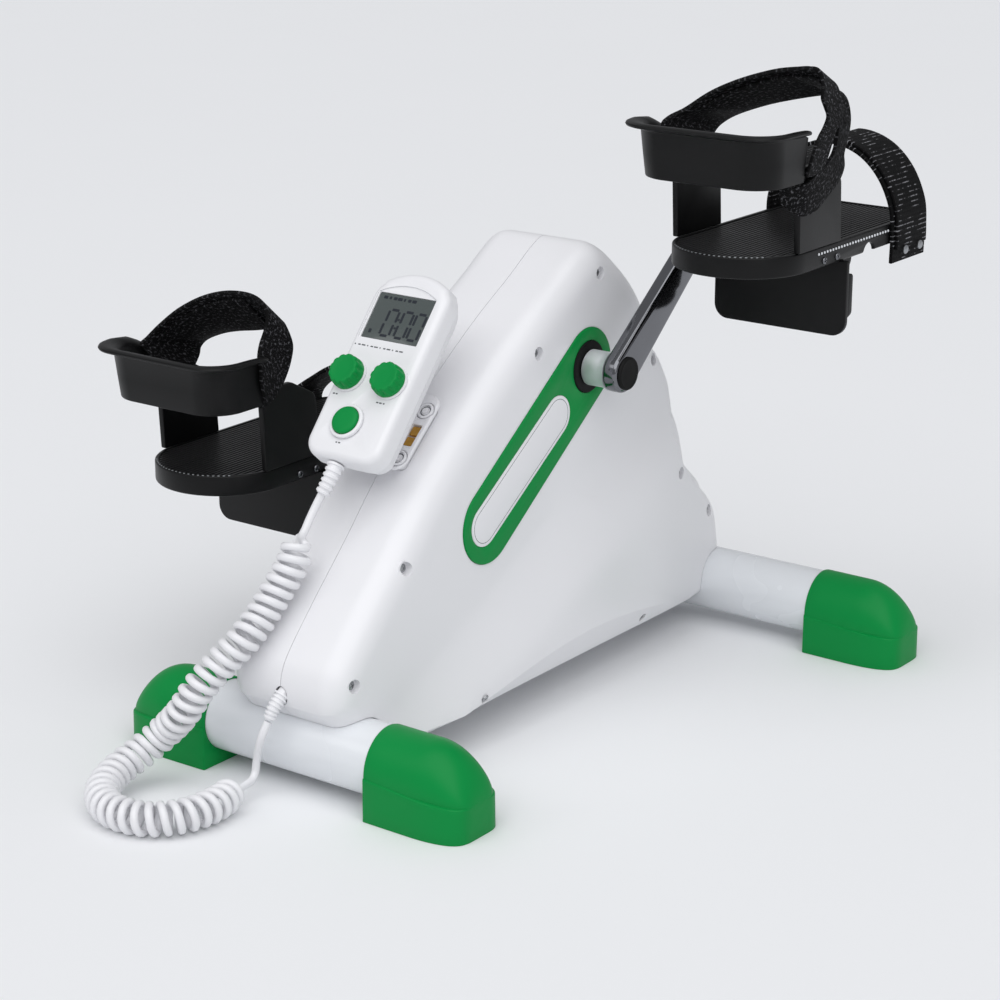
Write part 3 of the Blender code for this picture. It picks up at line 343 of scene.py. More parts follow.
def webbing(colours, name="black_webbing_woven", rib=THREAD, shine="#626266", ends=(0.54, 0.72)):
    """Polyamide webbing: threads woven both ways, with fine fuzz in the bump and painted highlights: bright
    specks mixed into the base colour.
    """
    material, tree, shader = blank_material(name, 0.66)
    place = add(tree, "ShaderNodeUVMap", uv_map="strap").outputs["UV"]
    warp, weft = (
        add(tree, "ShaderNodeTexWave",
            {"Vector": place, "Scale": WAVE_OF_ONE / (pitch * MM), "Distortion": 0.6},
            bands_direction=direction).outputs["Fac"]
        for pitch, direction in ((rib, "X"), (THREAD, "Y")))
    cloth = add(tree, "ShaderNodeMath", {0: warp, 1: weft}, operation="MULTIPLY")
    # Fibre fuzz: this noise drives the bump, and further down the painted highlight specks.
    fuzz_and_glint_noise = add(tree, "ShaderNodeTexNoise", {"Vector": place, "Scale": 0.5 / MM, "Detail": 3.0})
    loose = fuzz_and_glint_noise.outputs["Fac"]
    height = add(tree, "ShaderNodeMath", {0: cloth.outputs[0], 1: loose}, operation="ADD")
    bump = add(tree, "ShaderNodeBump", {"Height": height.outputs[0], "Distance": 0.5 * MM, "Strength": 0.8})
    tree.links.new(bump.outputs["Normal"], shader.inputs["Normal"])
    if rib > THREAD:
        # Painted highlights kept to the ribs' tops and thinned out in random patches.
        ridge = add(tree, "ShaderNodeMath", {0: warp, 1: 3.0}, operation="POWER")
        patches = add(tree, "ShaderNodeTexNoise", {"Vector": place, "Scale": 0.09 / MM, "Detail": 3.0})
        glint_breaks = add(tree, "ShaderNodeMapRange", {"Value": patches.outputs["Fac"], "From Min": 0.42,
                                                "From Max": 0.6, "To Min": 0.35, "To Max": 1.0})
        for factor in (ridge, glint_breaks):
            loose = add(tree, "ShaderNodeMath", {0: factor.outputs[0], 1: loose},
                        operation="MULTIPLY").outputs[0]
    # Painted highlights: the base colour is mixed towards the shine colour where the fuzz noise is high, as
    # bright specks.
    bright = add(tree, "ShaderNodeMapRange", {"Value": loose, "From Min": ends[0], "From Max": ends[1]})
    mix = add(tree, "ShaderNodeMix", {0: bright.outputs["Result"], 6: (*colours.webbing, 1),
                                      7: (*linear(shine), 1)}, data_type="RGBA")
    tree.links.new(mix.outputs[2], shader.inputs["Base Color"])
    shader.inputs["Specular IOR Level"].default_value = 0.12
    return material


def ribbed_webbing(colours):
    """Toe webbing: ribs 3.6 mm apart across the strap, with painted highlights as rows of bright dashes on
    their tops, thinned out at random.
    """
    return webbing(colours, "black_webbing_ribbed", 3.6, "#8C8C90", (0.3, 0.5))


def pad_rubber(colours):
    """Rubber pressed into lengthwise ribs: glossier than the plate, so each rib has a thin bright streak."""
    return moulded("black_rubber_ribbed", linear("#0B0B0C"), 0.4, 3.0, 0.12, 0.5, 0.3)


def screen(colours):
    """Liquid-crystal glass: grey-green, even, glossy in front."""
    material = moulded("display_glass", colours.screen, 0.15, 5.0, 0.0005, 0.08)
    material.node_tree.nodes["Principled BSDF"].inputs["Coat Weight"].default_value = 0.5
    return material


def segments(colours):
    """The dark liquid crystal of a lit segment, under the glass."""
    return moulded("display_segment", linear("#141B26"), 0.3, 4.0, 0.0005)


def print_grey(colours):
    """Pad-printed ink: matt grey, thin and even."""
    return moulded("grey_ink_printed", linear("#55585D"), 0.5, 2.0, 0.0005)


# The material of each finish, and the record's material slot that it belongs to
FINISHES = {
    "white": (white_abs, "white_plastic"), "green": (green_abs, "green_plastic"),
    "black": (black_polypropylene, "black_plastic"), "rubber": (black_rubber, "black_rubber"),
    "pad": (pad_rubber, "black_rubber"), "cord": (white_cord, "white_plastic"),
    "enamel": (white_enamel, "white_enamel"), "chrome": (chrome, "chrome_plate"),
    "satin": (satin_chrome, "chrome_plate"), "zinc": (zinc, "zinc_steel"), "brass": (brass, "brass_strip"),
    "webbing": (webbing, "black_webbing"), "toe webbing": (ribbed_webbing, "black_webbing"),
    "screen": (screen, "display_panel"), "segments": (segments, "display_panel"),
    "print": (print_grey, "white_plastic"),
}
made_finishes = {}


def finish(name):
    """A finish's material, made once."""
    if name not in made_finishes:
        made_finishes[name] = FINISHES[name][0](bpy.context.scene.exerciser_colours)
    return made_finishes[name]


# Modelling by hand: selection, outlines and the few moves that all pieces share
def lay_down():
    """Back to object mode with nothing selected."""
    if bpy.context.mode != "OBJECT":
        bpy.ops.object.mode_set(mode="OBJECT")
    bpy.ops.object.select_all(action="DESELECT")


def pick_up(obj):
    """Selects one object and nothing else."""
    lay_down()
    obj.select_set(True)
    bpy.context.view_layer.objects.active = obj


def open_up(obj):
    """Edit mode on one object with all of it selected."""
    pick_up(obj)
    bpy.ops.object.mode_set(mode="EDIT")
    bpy.ops.mesh.select_mode(type="FACE")
    bpy.ops.mesh.select_all(action="SELECT")


def choose_rim(obj, level):
    """Selects the edges that lie at one height."""
    bpy.ops.mesh.select_mode(type="EDGE")
    bpy.ops.mesh.select_all(action="DESELECT")
    mesh = bmesh.from_edit_mesh(obj.data)
    for edge in mesh.edges:
        if all(abs(corner.co.z - level) < 0.001 for corner in edge.verts):
            edge.select_set(True)
    mesh.select_flush_mode()
    bmesh.update_edit_mesh(obj.data)


def circle(centre, radius, count):
    """So many points on a circle."""
    turns = [2 * math.pi * step / count for step in range(count)]
    return [(centre[0] + radius * math.cos(lean), centre[1] + radius * math.sin(lean)) for lean in turns]


def arc(centre, radius, start, end, steps):
    """Points on a circle from one angle to another, in degrees, both ends included."""
    turns = [math.radians(start + (end - start) * step / steps) for step in range(steps + 1)]
    return [(centre[0] + radius * math.cos(lean), centre[1] + radius * math.sin(lean)) for lean in turns]


def racetrack(low, high, radius, steps):
    """Two half circles joined by straight sides."""
    lean = math.degrees(math.atan2(high[1] - low[1], high[0] - low[0]))
    return arc(high, radius, lean - 90, lean + 90, steps) + arc(low, radius, lean + 90, lean + 270, steps)


def rounded(corners, steps=5):
    """A polygon of (a, b, radius) corners, each drawn as an arc."""
    points = []
    for before, corner, after in zip(corners[-1:] + corners[:-1], corners, corners[1:] + corners[:1]):
        spot, radius = Vector(corner[:2]), corner[2]
        one = (Vector(before[:2]) - spot).normalized()
        two = (Vector(after[:2]) - spot).normalized()
        half = one.angle(two) / 2
        centre = spot + (one + two).normalized() * (radius / math.sin(half))
        start, end = (spot + way * (radius / math.tan(half)) - centre for way in (one, two))
        first = math.atan2(start.y, start.x)
        sweep = (math.atan2(end.y, end.x) - first + math.pi) % (2 * math.pi) - math.pi
        for step in range(steps + 1):
            turn_by = first + sweep * step / steps
            points.append((centre.x + radius * math.cos(turn_by), centre.y + radius * math.sin(turn_by)))
    return points


def rounded_box(centre, half_a, half_b, corner, steps):
    """A box outline with rounded corners."""
    a, b = centre
    points = []
    for across, along, start in ((1, -1, -90), (1, 1, 0), (-1, 1, 90), (-1, -1, 180)):
        middle = (a + across * (half_a - corner), b + along * (half_b - corner))
        points += arc(middle, corner, start, start + 90, steps)
    return points


def draw(name, outline, level):
    """A filled outline on the XY plane, drawn from a circle primitive, left in edit mode and selected."""
    lay_down()
    bpy.ops.mesh.primitive_circle_add(vertices=len(outline), radius=1, fill_type="NGON", location=(0, 0, 0))
    obj = bpy.context.object
    obj.name = name
    obj.data.name = name
    bpy.ops.object.mode_set(mode="EDIT")
    mesh = bmesh.from_edit_mesh(obj.data)
    mesh.verts.ensure_lookup_table()
    for vertex, (a, b) in zip(mesh.verts, outline):
        vertex.co = (a, b, level)
    bmesh.update_edit_mesh(obj.data)
    bpy.ops.mesh.select_mode(type="FACE")
    bpy.ops.mesh.select_all(action="SELECT")
    return obj


def raise_by(height):
    """Extrudes what is selected straight up."""
    bpy.ops.mesh.extrude_region_move(TRANSFORM_OT_translate={"value": (0, 0, height)})


def close_up():
    """Joins doubles, turns faces outwards and leaves edit mode."""
    bpy.ops.mesh.select_all(action="SELECT")
    bpy.ops.mesh.remove_doubles(threshold=0.0001)
    bpy.ops.mesh.normals_make_consistent(inside=False)
    bpy.ops.object.mode_set(mode="OBJECT")


def slab(name, outline, low, high, top_round=0.0, bottom_round=0.0, steps=3):
    """An outline raised to a plate, with rounded rims."""
    obj = draw(name, outline, low)
    raise_by(high - low)
    for level, width in ((high, top_round), (low, bottom_round)):
        if width:
            choose_rim(obj, level)
            bpy.ops.mesh.bevel(offset=width, segments=steps, profile=0.5, affect="EDGES")
    close_up()
    return obj


def turned(name, profile, count, centre=(0, 0)):
    """A round piece: a disc drawn out through (height, radius) pairs."""
    (level, radius), *steps = profile
    obj = draw(name, circle(centre, radius, count), level)
    for height, reach in steps:
        raise_by(height - level)
        ratio = reach / radius
        bpy.ops.transform.resize(value=(ratio, ratio, 1), center_override=(*centre, height))
        level, radius = height, reach
    close_up()
    return obj


def rod(name, radius, low, high, count, centre=(0, 0)):
    """A plain round bar."""
    return turned(name, [(low, radius), (high, radius)], count, centre)


def cut(obj, cutters, operation="DIFFERENCE"):
    """Cuts or joins helper shapes into a piece and removes them."""
    for helper in cutters:
        modifier = obj.modifiers.new("cut", "BOOLEAN")
        modifier.operation = operation
        modifier.solver = "EXACT"
        modifier.object = helper
        pick_up(obj)
        bpy.ops.object.modifier_apply(modifier=modifier.name)
        bpy.data.objects.remove(helper)
    return obj


def soften(obj, width, steps=2, angle=35):
    """Rounds what edges are left sharp, as a mould does."""
    modifier = obj.modifiers.new("round", "BEVEL")
    modifier.width = width
    modifier.segments = steps
    modifier.limit_method = "ANGLE"
    modifier.angle_limit = math.radians(angle)
    modifier.harden_normals = False
    pick_up(obj)
    bpy.ops.object.modifier_apply(modifier=modifier.name)
    return obj


def shell_rounding():
    """The rounding of the white shells' edges, in millimetres."""
    return bpy.context.scene.exerciser_sizes.edge_round / MM


def turn(obj, matrix):
    """Moves a piece's mesh, and keeps its faces outwards where the move mirrors it."""
    obj.data.transform(matrix)
    if matrix.determinant() < 0:
        obj.data.flip_normals()
    return obj


def across_at(y, z, x=0.0):
    """A place in the side view whose Z runs across the machine."""
    return Matrix.Translation((x, y, z)) @ ALONG_X


def settle(obj, place=Matrix.Identity(4)):
    """Puts the place in the mesh, in metres, and leaves the object at the origin."""
    return turn(obj, Matrix.Scale(MM, 4) @ place)


def copy_of(obj, name):
    """A copy with its own mesh."""
    twin = bpy.data.objects.new(name, obj.data.copy())
    twin.data.name = name
    bpy.context.scene.collection.objects.link(twin)
    return twin


def join(pieces):
    """Joins loose parts of one piece, the first of which gives it its name."""
    lay_down()
    for part in pieces:
        part.select_set(True)
    bpy.context.view_layer.objects.active = pieces[0]
    bpy.ops.object.join()
    return pieces[0]


def scattered(model, name, places):
    """Copies of a small part at many places, joined to one piece. The model goes."""
    parts = [turn(copy_of(model, name), place) for place in places]
    bpy.data.objects.remove(model)
    return join(parts)


def dress(obj, look, angle):
    """Gives a settled piece its finish and smooths its round faces."""
    obj.data.materials.clear()
    obj.data.materials.append(finish(look))
    pick_up(obj)
    bpy.ops.object.shade_smooth_by_angle(angle=math.radians(angle))


def present(obj, look, body, node=None, angle=35):
    """Gives a settled piece its finish and its body, and hides the CAD node that it stands for."""
    dress(obj, look, angle)
    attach(obj, body)
    if node:
        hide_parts(node)


def on_both_sides(model, stem, look, places, bodies=("machine", "machine"), node=True, angle=35):
    """Gives the right and the left side each its own copy of a piece. The model goes."""
    for (_, label), place, body in zip(SIDES, places, bodies):
        name = "%s_%s" % (stem, label)
        obj = settle(copy_of(model, name + "_skin"), place)
        present(obj, look, body, name if node else None, angle)
    bpy.data.objects.remove(model)


def joined_copy(node, look, width, angle):
    """A CAD node's copy with its loose triangles joined, its edges rounded and its round faces smooth."""
    obj = copy_of(frame["nodes"][node], node + "_skin")
    open_up(obj)
    bpy.ops.mesh.customdata_custom_splitnormals_clear()
    bpy.ops.mesh.remove_doubles(threshold=0.00001)
    bpy.ops.mesh.dissolve_limited(angle_limit=math.radians(0.5))
    bpy.ops.object.mode_set(mode="OBJECT")
    soften(obj, width * MM, 2, angle)
    bodies = frame["record"]["behaviour"]["bodies"]
    body = next(name for name, members in bodies.items() if node in members)
    present(obj, look, body, node, angle)


# Curves in space, as lists of Vectors
def curve_through(points, steps):
    """A smooth Catmull-Rom curve through points, with so many steps between each two."""
    spots = [Vector(point) for point in points]
    spots = [spots[0] * 2 - spots[1]] + spots + [spots[-1] * 2 - spots[-2]]
    curve = []
    for a, b, c, d in zip(spots, spots[1:], spots[2:], spots[3:]):
        for step in range(steps):
            t = step / steps
            curve.append((2 * b + (c - a) * t + (2 * a - 5 * b + 4 * c - d) * t ** 2
                          + (3 * b - a - 3 * c + d) * t ** 3) / 2)
    return curve + [spots[-2]]


def length_of(points):
    return sum((b - a).length for a, b in zip(points, points[1:]))


def evenly(points, count):
    """So many points at equal spacing along a line, both ends included."""
    return at_shares(points, [index / (count - 1) for index in range(count)])


def at_shares(points, shares):
    """The points that lie at rising shares of a line's length."""
    reach = [0.0]
    for a, b in zip(points, points[1:]):
        reach.append(reach[-1] + (b - a).length)
    result = []
    span = 0
    for wanted in shares:
        target = reach[-1] * wanted
        while span < len(points) - 2 and reach[span + 1] < target:
            span += 1
        share = (target - reach[span]) / (reach[span + 1] - reach[span])
        result.append(points[span].lerp(points[span + 1], share))
    return result


def frames_along(points):
    """A (tangent, side, up) frame at each point, turned as little as possible from one to the next."""
    tangents = []
    for index in range(len(points)):
        after = points[min(index + 1, len(points) - 1)]
        before = points[max(index - 1, 0)]
        tangents.append((after - before).normalized())
    side = tangents[0].orthogonal().normalized()
    frames = []
    for tangent in tangents:
        side = (side - tangent * side.dot(tangent)).normalized()
        frames.append((tangent, side, tangent.cross(side)))
    return frames


def eased(value):
    """A soft step from 0 to 1, for one value or an array."""
    value = np.clip(value, 0, 1)
    return value * value * (3 - 2 * value)


def quads(rows, count):
    """The faces between closed rings of so many points each, numbered ring after ring."""
    faces = []
    for base in range(0, (rows - 1) * count, count):
        for index in range(count):
            after = (index + 1) % count
            faces.append((base + index, base + after, base + count + after, base + count + index))
    return faces


def new_mesh_piece(name, points, faces):
    """A piece from its points and faces, for forms too free for the hand tools."""
    mesh = bpy.data.meshes.new(name)
    mesh.from_pydata([tuple(point) for point in points], [], faces)
    obj = bpy.data.objects.new(name, mesh)
    bpy.context.scene.collection.objects.link(obj)
    return obj


def loft(name, rings):
    """A closed piece through rings of equal counts, for forms too free for the hand tools."""
    count = len(rings[0])
    points = [point for ring in rings for point in ring]
    ends = [tuple(reversed(range(count))), tuple(range(len(points) - count, len(points)))]
    obj = new_mesh_piece(name, points, ends + quads(len(rings), count))
    open_up(obj)
    close_up()
    return obj


def swept(name, route, profile, count):
    """A round piece along a route, from (distance, radius) pairs."""
    per_millimetre = 5
    fine = curve_through(route, 12)
    spine = evenly(fine, int(length_of(fine) * per_millimetre))
    frames = frames_along(spine)
    rings = []
    for distance, radius in profile:
        index = min(len(spine) - 1, round(distance * per_millimetre))
        _, side, up = frames[index]
        rings.append([tuple(spine[index] + side * a + up * b) for a, b in circle((0, 0), radius, count)])
    return loft(name, rings)


# Stage
CAMERA_PLACE = (1.06951, -1.45717, 0.72035)
CAMERA_TURN = (math.radians(36.31), math.radians(17.65), math.radians(0.13))
CAMERA_LENS = 93.42
LIGHT_TARGET = (0, 0, 0.15)


def camera_matrix():
    """The camera's place, turned by its azimuth, elevation and roll."""
    azimuth, elevation, roll = CAMERA_TURN
    back = Vector((math.sin(azimuth) * math.cos(elevation), -math.cos(azimuth) * math.cos(elevation),
                   math.sin(elevation)))
    right = Vector((math.cos(azimuth), math.sin(azimuth), 0))
    up = back.cross(right)
    level = right * math.cos(roll) + up * math.sin(roll)
    upright = up * math.cos(roll) - right * math.sin(roll)
    return Matrix.Translation(CAMERA_PLACE) @ Matrix((level, upright, back)).transposed().to_4x4()


def soft_light(name, place, size, power):
    """A round soft light that faces the machine."""
    bpy.ops.object.light_add(type="AREA", location=place)
    lamp = bpy.context.object
    lamp.name = name
    lamp.rotation_euler = (Vector(place) - Vector(LIGHT_TARGET)).to_track_quat("Z", "Y").to_euler()
    lamp.data.shape = "DISK"
    lamp.data.size = size
    lamp.data.energy = power


class EXERCISER_OT_stage(bpy.types.Operator):
    """Adds the camera, the pale floor and the soft studio light"""
    bl_idname = "exerciser.stage"
    bl_label = "Stage"

    def execute(self, context):
        lay_down()
        bpy.ops.object.camera_add(location=CAMERA_PLACE)
        camera = context.object
        camera.name = "photo_camera"
        camera.matrix_world = camera_matrix()
        camera.data.lens = CAMERA_LENS
        camera.data.sensor_width = 36
        camera.data.clip_end = 60
        context.scene.camera = camera
        bpy.ops.mesh.primitive_plane_add(size=40, location=(0, 0, -0.0002))
        floor = context.object
        floor.name = "studio_floor"
        floor.data.materials.append(self.paper(context.scene.exerciser_colours.floor))
        bpy.ops.object.light_add(type="SUN", location=(0, 0, 3),
                                 rotation=(math.radians(24), math.radians(18), 0))
        sky = context.object
        sky.name = "sky_light"
        sky.data.energy = 1.75
        sky.data.angle = math.radians(70)
        soft_light("key_light", (-1.3, -2.2, 1.9), 1.4, 6)
        soft_light("fill_light", (2.4, -1.4, 1.2), 1.6, 5)
        self.light_room(context.scene)
        return {"FINISHED"}

    @staticmethod
    def paper(colour):
        """Seamless studio paper: matt and even, with a fibre too fine to see."""
        material, tree, shader = blank_material("studio_paper", 0.9)
        place = add(tree, "ShaderNodeTexCoord").outputs["Object"]
        tinted(tree, shader, place, colour, 0.01, 3.0)
        return material

    @staticmethod
    def light_room(scene):
        """An even, slightly cold light from all sides."""
        scene.view_settings.view_transform = "Standard"
        world = bpy.data.worlds.new("studio_room")
        scene.world = world
        world.use_nodes = True
        background = world.node_tree.nodes["Background"]
        background.inputs["Color"].default_value = (0.955, 0.968, 1.0, 1)
        background.inputs["Strength"].default_value = 0.42


# Cord
def curls(spine_route, radius):
    """A helix round a route, drawn in to the route at both ends, where it runs straight."""
    diameter = bpy.context.scene.exerciser_sizes.cord_diameter
    length = length_of(spine_route)
    fine = evenly(spine_route, int(length * 4 / MM))
    lead = max(1, round(diameter / length * len(fine)))
    last = CURL_COUNT * CURL_POINTS
    strides = [1 + CURL_STRETCH * (1 - eased(min(index, last - index) / CURL_POINTS))
               for index in range(last)]
    shares = [sum(strides[:index]) / sum(strides) for index in range(last + 1)]
    spine = at_shares(fine[lead:-lead], shares)
    points = [fine[0]]
    for index, (point, (_, side, up)) in enumerate(zip(spine, frames_along(spine))):
        reach = radius * eased(min(index, last - index) / CURL_POINTS)
        around = 2 * math.pi * index / CURL_POINTS
        points.append(point + side * (reach * math.cos(around)) + up * (reach * math.sin(around)))
    return points + [fine[-1]]


class EXERCISER_OT_cord(bpy.types.Operator):
    """Adds the whole cord: the lead under the handset, the curls and the lead to the nose"""
    bl_idname = "exerciser.cord"
    bl_label = "Cord"

    def execute(self, context):
        sizes = context.scene.exerciser_sizes
        steps = 12
        route = curve_through(CORD_ROUTE, steps)
        first = route[:CURLS_FROM * steps + 1]
        middle = route[CURLS_FROM * steps:CURLS_TO * steps + 1]
        last = route[CURLS_TO * steps:]
        path = evenly(first, 8)[:-1] + curls(middle, sizes.curl_radius) + evenly(last, 22)[1:]
        cord = self.tube("cord_whole", path, sizes.cord_diameter / 2)
        dress(cord, "cord", 60)
        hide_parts("cord_upper", "curly_cord", "cord_lower")
        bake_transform(cord)
        return {"FINISHED"}

    @staticmethod
    def tube(name, path, radius):
        """A round cord along a path, drawn as a curve and made a mesh."""
        lay_down()
        curve = bpy.data.curves.new(name, "CURVE")
        curve.dimensions = "3D"
        curve.bevel_depth = radius
        curve.bevel_resolution = 4
        curve.use_fill_caps = True
        spline = curve.splines.new("POLY")
        spline.points.add(len(path) - 1)
        for target, point in zip(spline.points, path):
            target.co = (*point, 1)
        obj = bpy.data.objects.new(name, curve)
        bpy.context.scene.collection.objects.link(obj)
        pick_up(obj)
        bpy.ops.object.convert(target="MESH")
        return bpy.context.object


# Housing
def housing_outline():
    """The side view with close points, over the top and along the underside."""
    over = evenly(curve_through([(a, b, 0) for a, b in HOUSING_SIDE_VIEW], 8), 190)
    corners = [Vector((a, b, 0)) for a, b in HOUSING_SIDE_VIEW[-1:] + HOUSING_UNDERSIDE]
    under = []
    for a, b in zip(corners, corners[1:]):
        count = max(2, round((b - a).length / 6))
        under += [a.lerp(b, step / count) for step in range(count)]
    return np.array([(point.x, point.y) for point in over + under[1:]])


def edge_distances(spots, outline):
    """Each spot's distance to the outline's nearest edge."""
    run = np.roll(outline, -1, axis=0) - outline
    gap = spots[:, None, :] - outline[None]
    share = np.clip((gap * run).sum(2) / (run * run).sum(1), 0, 1)
    return np.sqrt(((gap - run * share[..., None]) ** 2).sum(2)).min(1)


def spots_at_depth(outline, depth):
    """The points on the ways from the outline to the centre that lie so deep inside."""
    centre = np.array(HOUSING_CENTRE)
    low = np.zeros(len(outline))
    high = np.full(len(outline), 0.8)
    for _ in range(18):
        middle = (low + high) / 2
        near = edge_distances(outline + (centre - outline) * middle[:, None], outline) < depth
        low = np.where(near, middle, low)
        high = np.where(near, high, middle)
    return outline + (centre - outline) * high[:, None]


def flank(y, z):
    """Half-width of the side wall: flat above the crease, bulging below it, with a grip hollow."""
    below = (CREASE_HEIGHT + CREASE_SLOPE * y - z) * math.cos(math.atan(CREASE_SLOPE))
    fade = 1 - eased((y - BULGE_END) / BULGE_FADE)
    back, up = y - GRIP_CENTRE[0], z - GRIP_CENTRE[1]
    along = back * math.cos(GRIP_LEAN) + up * math.sin(GRIP_LEAN)
    across = back * math.sin(GRIP_LEAN) - up * math.cos(GRIP_LEAN)
    grip = eased(GRIP_STEEPNESS * (1 - np.hypot(along / GRIP_HALF[0], across / GRIP_HALF[1])))
    return HOUSING_HALF + BULGE * eased(below / BULGE_OVER) * fade - GRIP_DEPTH * grip


def arch_height(y):
    """Where the side wall starts to turn in to the underside."""
    return HOUSING_BOTTOM + np.maximum(ARCH_LEAST, ARCH_TOP * (1 - ((y - ARCH_CENTRE) / ARCH_HALF) ** 2))


def half_width(y, z):
    """Half-width of the shell: the side wall, drawn in below the arch."""
    side = flank(y, z)
    rise = np.clip((z - HOUSING_BOTTOM) / (arch_height(y) - HOUSING_BOTTOM), 0, 1)
    return np.minimum(side, UNDERSIDE_HALF + (side - UNDERSIDE_HALF) * rise)


def shell_rings(outline):
    """Rings of points from the seam over the rounded edge to the middle of the side wall."""
    centre = np.array(HOUSING_CENTRE)
    blend = eased((outline[:, 1] - FILLET_FROM) / FILLET_OVER)
    fillet = FILLET_LOW + (FILLET_HIGH - FILLET_LOW) * blend
    rings = []
    for lean in np.radians(np.linspace(0, 90, 10)):
        spots = spots_at_depth(outline, fillet * (1 - math.cos(lean)))
        width = half_width(spots[:, 0], spots[:, 1]) - fillet + fillet * math.sin(lean)
        rings.append(np.column_stack([width, spots]))
    under = arch_height(outline[:, 0]) - HOUSING_BOTTOM
    band = spots_at_depth(outline, np.maximum(under + (BAND_DEPTH - under) * blend, fillet + 0.5))
    for share in (0, 0.07, 0.16, 0.27, 0.4, 0.54, 0.69, 0.84):
        spots = band + (centre - band) * share
        rings.append(np.column_stack([half_width(spots[:, 0], spots[:, 1]), spots]))
    seam = rings[0].copy()
    seam[:, 0] = SEAM_HALF
    return [seam] + rings


def shell_skin(name):
    """One side of the housing without its wall thickness."""
    rings = shell_rings(housing_outline())
    count = len(rings[0])
    points = [tuple(point) for ring in rings for point in ring]
    last = len(points) - count
    fan = [(last + index, last + (index + 1) % count, len(points)) for index in range(count)]
    centre = (half_width(*HOUSING_CENTRE), *HOUSING_CENTRE)
    shell = new_mesh_piece(name, points + [centre], quads(len(rings), count) + fan)
    open_up(shell)
    bpy.ops.mesh.normals_make_consistent(inside=False)
    bpy.ops.object.mode_set(mode="OBJECT")
    return shell


def thicken(obj, wall, offset=-1, even=True):
    """Gives a skin its wall: inwards, or to both sides where the offset is 0."""
    modifier = obj.modifiers.new("wall", "SOLIDIFY")
    modifier.thickness = wall
    modifier.offset = offset
    modifier.use_even_offset = even
    pick_up(obj)
    bpy.ops.object.modifier_apply(modifier=modifier.name)


def reach_at(shell, y, z):
    """How far out the shell's surface lies."""
    hit, spot, _, _ = shell.ray_cast((120, y, z), (-1, 0, 0))
    if not hit:
        raise ValueError("nothing of the housing at y %g, z %g" % (y, z))
    return spot.x


def under_seat(y, z):
    """A place on the band tucked under the arch, facing out of it."""
    x = half_width(y, z)
    tilt = math.atan2(x - UNDERSIDE_HALF, z - HOUSING_BOTTOM)
    return across_at(y, z, x) @ Matrix.Rotation(tilt, 4, "X")


def screw(name, radius=3.1):
    """A pan-head screw with a cross recess, seen from above, its seat at the origin."""
    head = turned(name, [(0, radius), (0.7, radius), (1.2, radius * 0.86), (1.5, radius * 0.5)], 28)
    slots = [slab("slot", rounded_box((0, 0), *half, 0.2, 3), 0.7, 3) for half in ((1.7, 0.36), (0.36, 1.7))]
    return cut(head, slots)


class EXERCISER_OT_housing(bpy.types.Operator):
    """Adds the two moulded shells with their screw recesses and screws"""
    bl_idname = "exerciser.housing"
    bl_label = "Housing"

    def execute(self, context):
        shell = shell_skin("housing_right_skin")
        seats = [(y, z, reach_at(shell, y, z)) for y, z in SCREW_HOLES]
        thicken(shell, HOUSING_WALL)
        cut(shell, [join(self.cutters(seats))])
        cut(shell, [turn(rod("hub", HUB_HOLE_RADIUS, 30, 60, 64), across_at(*HUB))])
        twin = turn(copy_of(shell, "housing_left_skin"), FLIPS[1])
        for obj, label in ((shell, "right"), (twin, "left")):
            cut(obj, [swept("entry", NOSE_RELIEF_ROUTE, [(d, 5.6) for d in range(0, 24, 3)], 24)])
            soften(obj, shell_rounding(), 2, 55)
            present(settle(obj), "white", "machine", "housing_" + label, 17)
        self.add_screws(seats)
        return {"FINISHED"}

    @staticmethod
    def cutters(seats):
        """The trim's recess, the tubes' saddles, the cradle's pocket and the screw holes."""
        recess = slab("recess", racetrack(TRIM_LOW, HUB, TRIM_RADIUS + 0.3, 48), 48.8, 66)
        helpers = [turn(recess, ALONG_X)]
        for y in (-AXLE_SPACING / 2, AXLE_SPACING / 2):
            saddle = rod("saddle", TUBE_RADIUS + 0.5, -5, 90, 96)
            helpers.append(turn(saddle, across_at(y, TUBE_AXIS_HEIGHT)))
        pocket = slab("pocket", rounded_box((0, 0), *POCKET_HALF, 4, 12), POCKET_FLOOR, 20)
        helpers.append(turn(pocket, CRADLE_FRAME))
        for y, z, reach in seats:
            hole = rod("hole", SEAT_RADIUS, reach - 6, reach + 9, 32)
            helpers.append(turn(hole, across_at(y, z)))
        for y, z in UNDER_SCREWS:
            hole = rod("hole", UNDER_SEAT_RADIUS, -UNDER_SEAT_DEPTH, 9, 32)
            helpers.append(turn(hole, under_seat(y, z)))
        return helpers

    @staticmethod
    def add_screws(seats):
        """Each screw at the bottom of a short white sleeve behind the wall, and the two under the arch."""
        bore = rod("bore", SEAT_RADIUS + 0.03, -SEAT_DEPTH, 1, 32)
        sleeve = cut(rod("sleeve", 6.2, -7, -1.8, 32), [bore])
        rims = [across_at(y, z, reach) for y, z, reach in seats]
        bottoms = [rim @ Matrix.Translation((0, 0, 0.1 - SEAT_DEPTH)) for rim in rims]
        bottoms += [under_seat(y, z) @ Matrix.Translation((0, 0, 0.1 - UNDER_SEAT_DEPTH))
                    for y, z in UNDER_SCREWS]
        for flip, (_, label) in zip(FLIPS, SIDES):
            sleeves = scattered(copy_of(sleeve, "sleeve"), "screw_sleeves_" + label,
                                [flip @ rim for rim in rims])
            present(settle(sleeves), "white", "machine")
            screws = scattered(screw("screw"), "housing_screws_" + label,
                               [flip @ bottom @ Matrix.Rotation(0.4 + number, 4, "Z")
                                for number, bottom in enumerate(bottoms)])
            present(settle(screws), "zinc", "machine")
        bpy.data.objects.remove(sleeve)


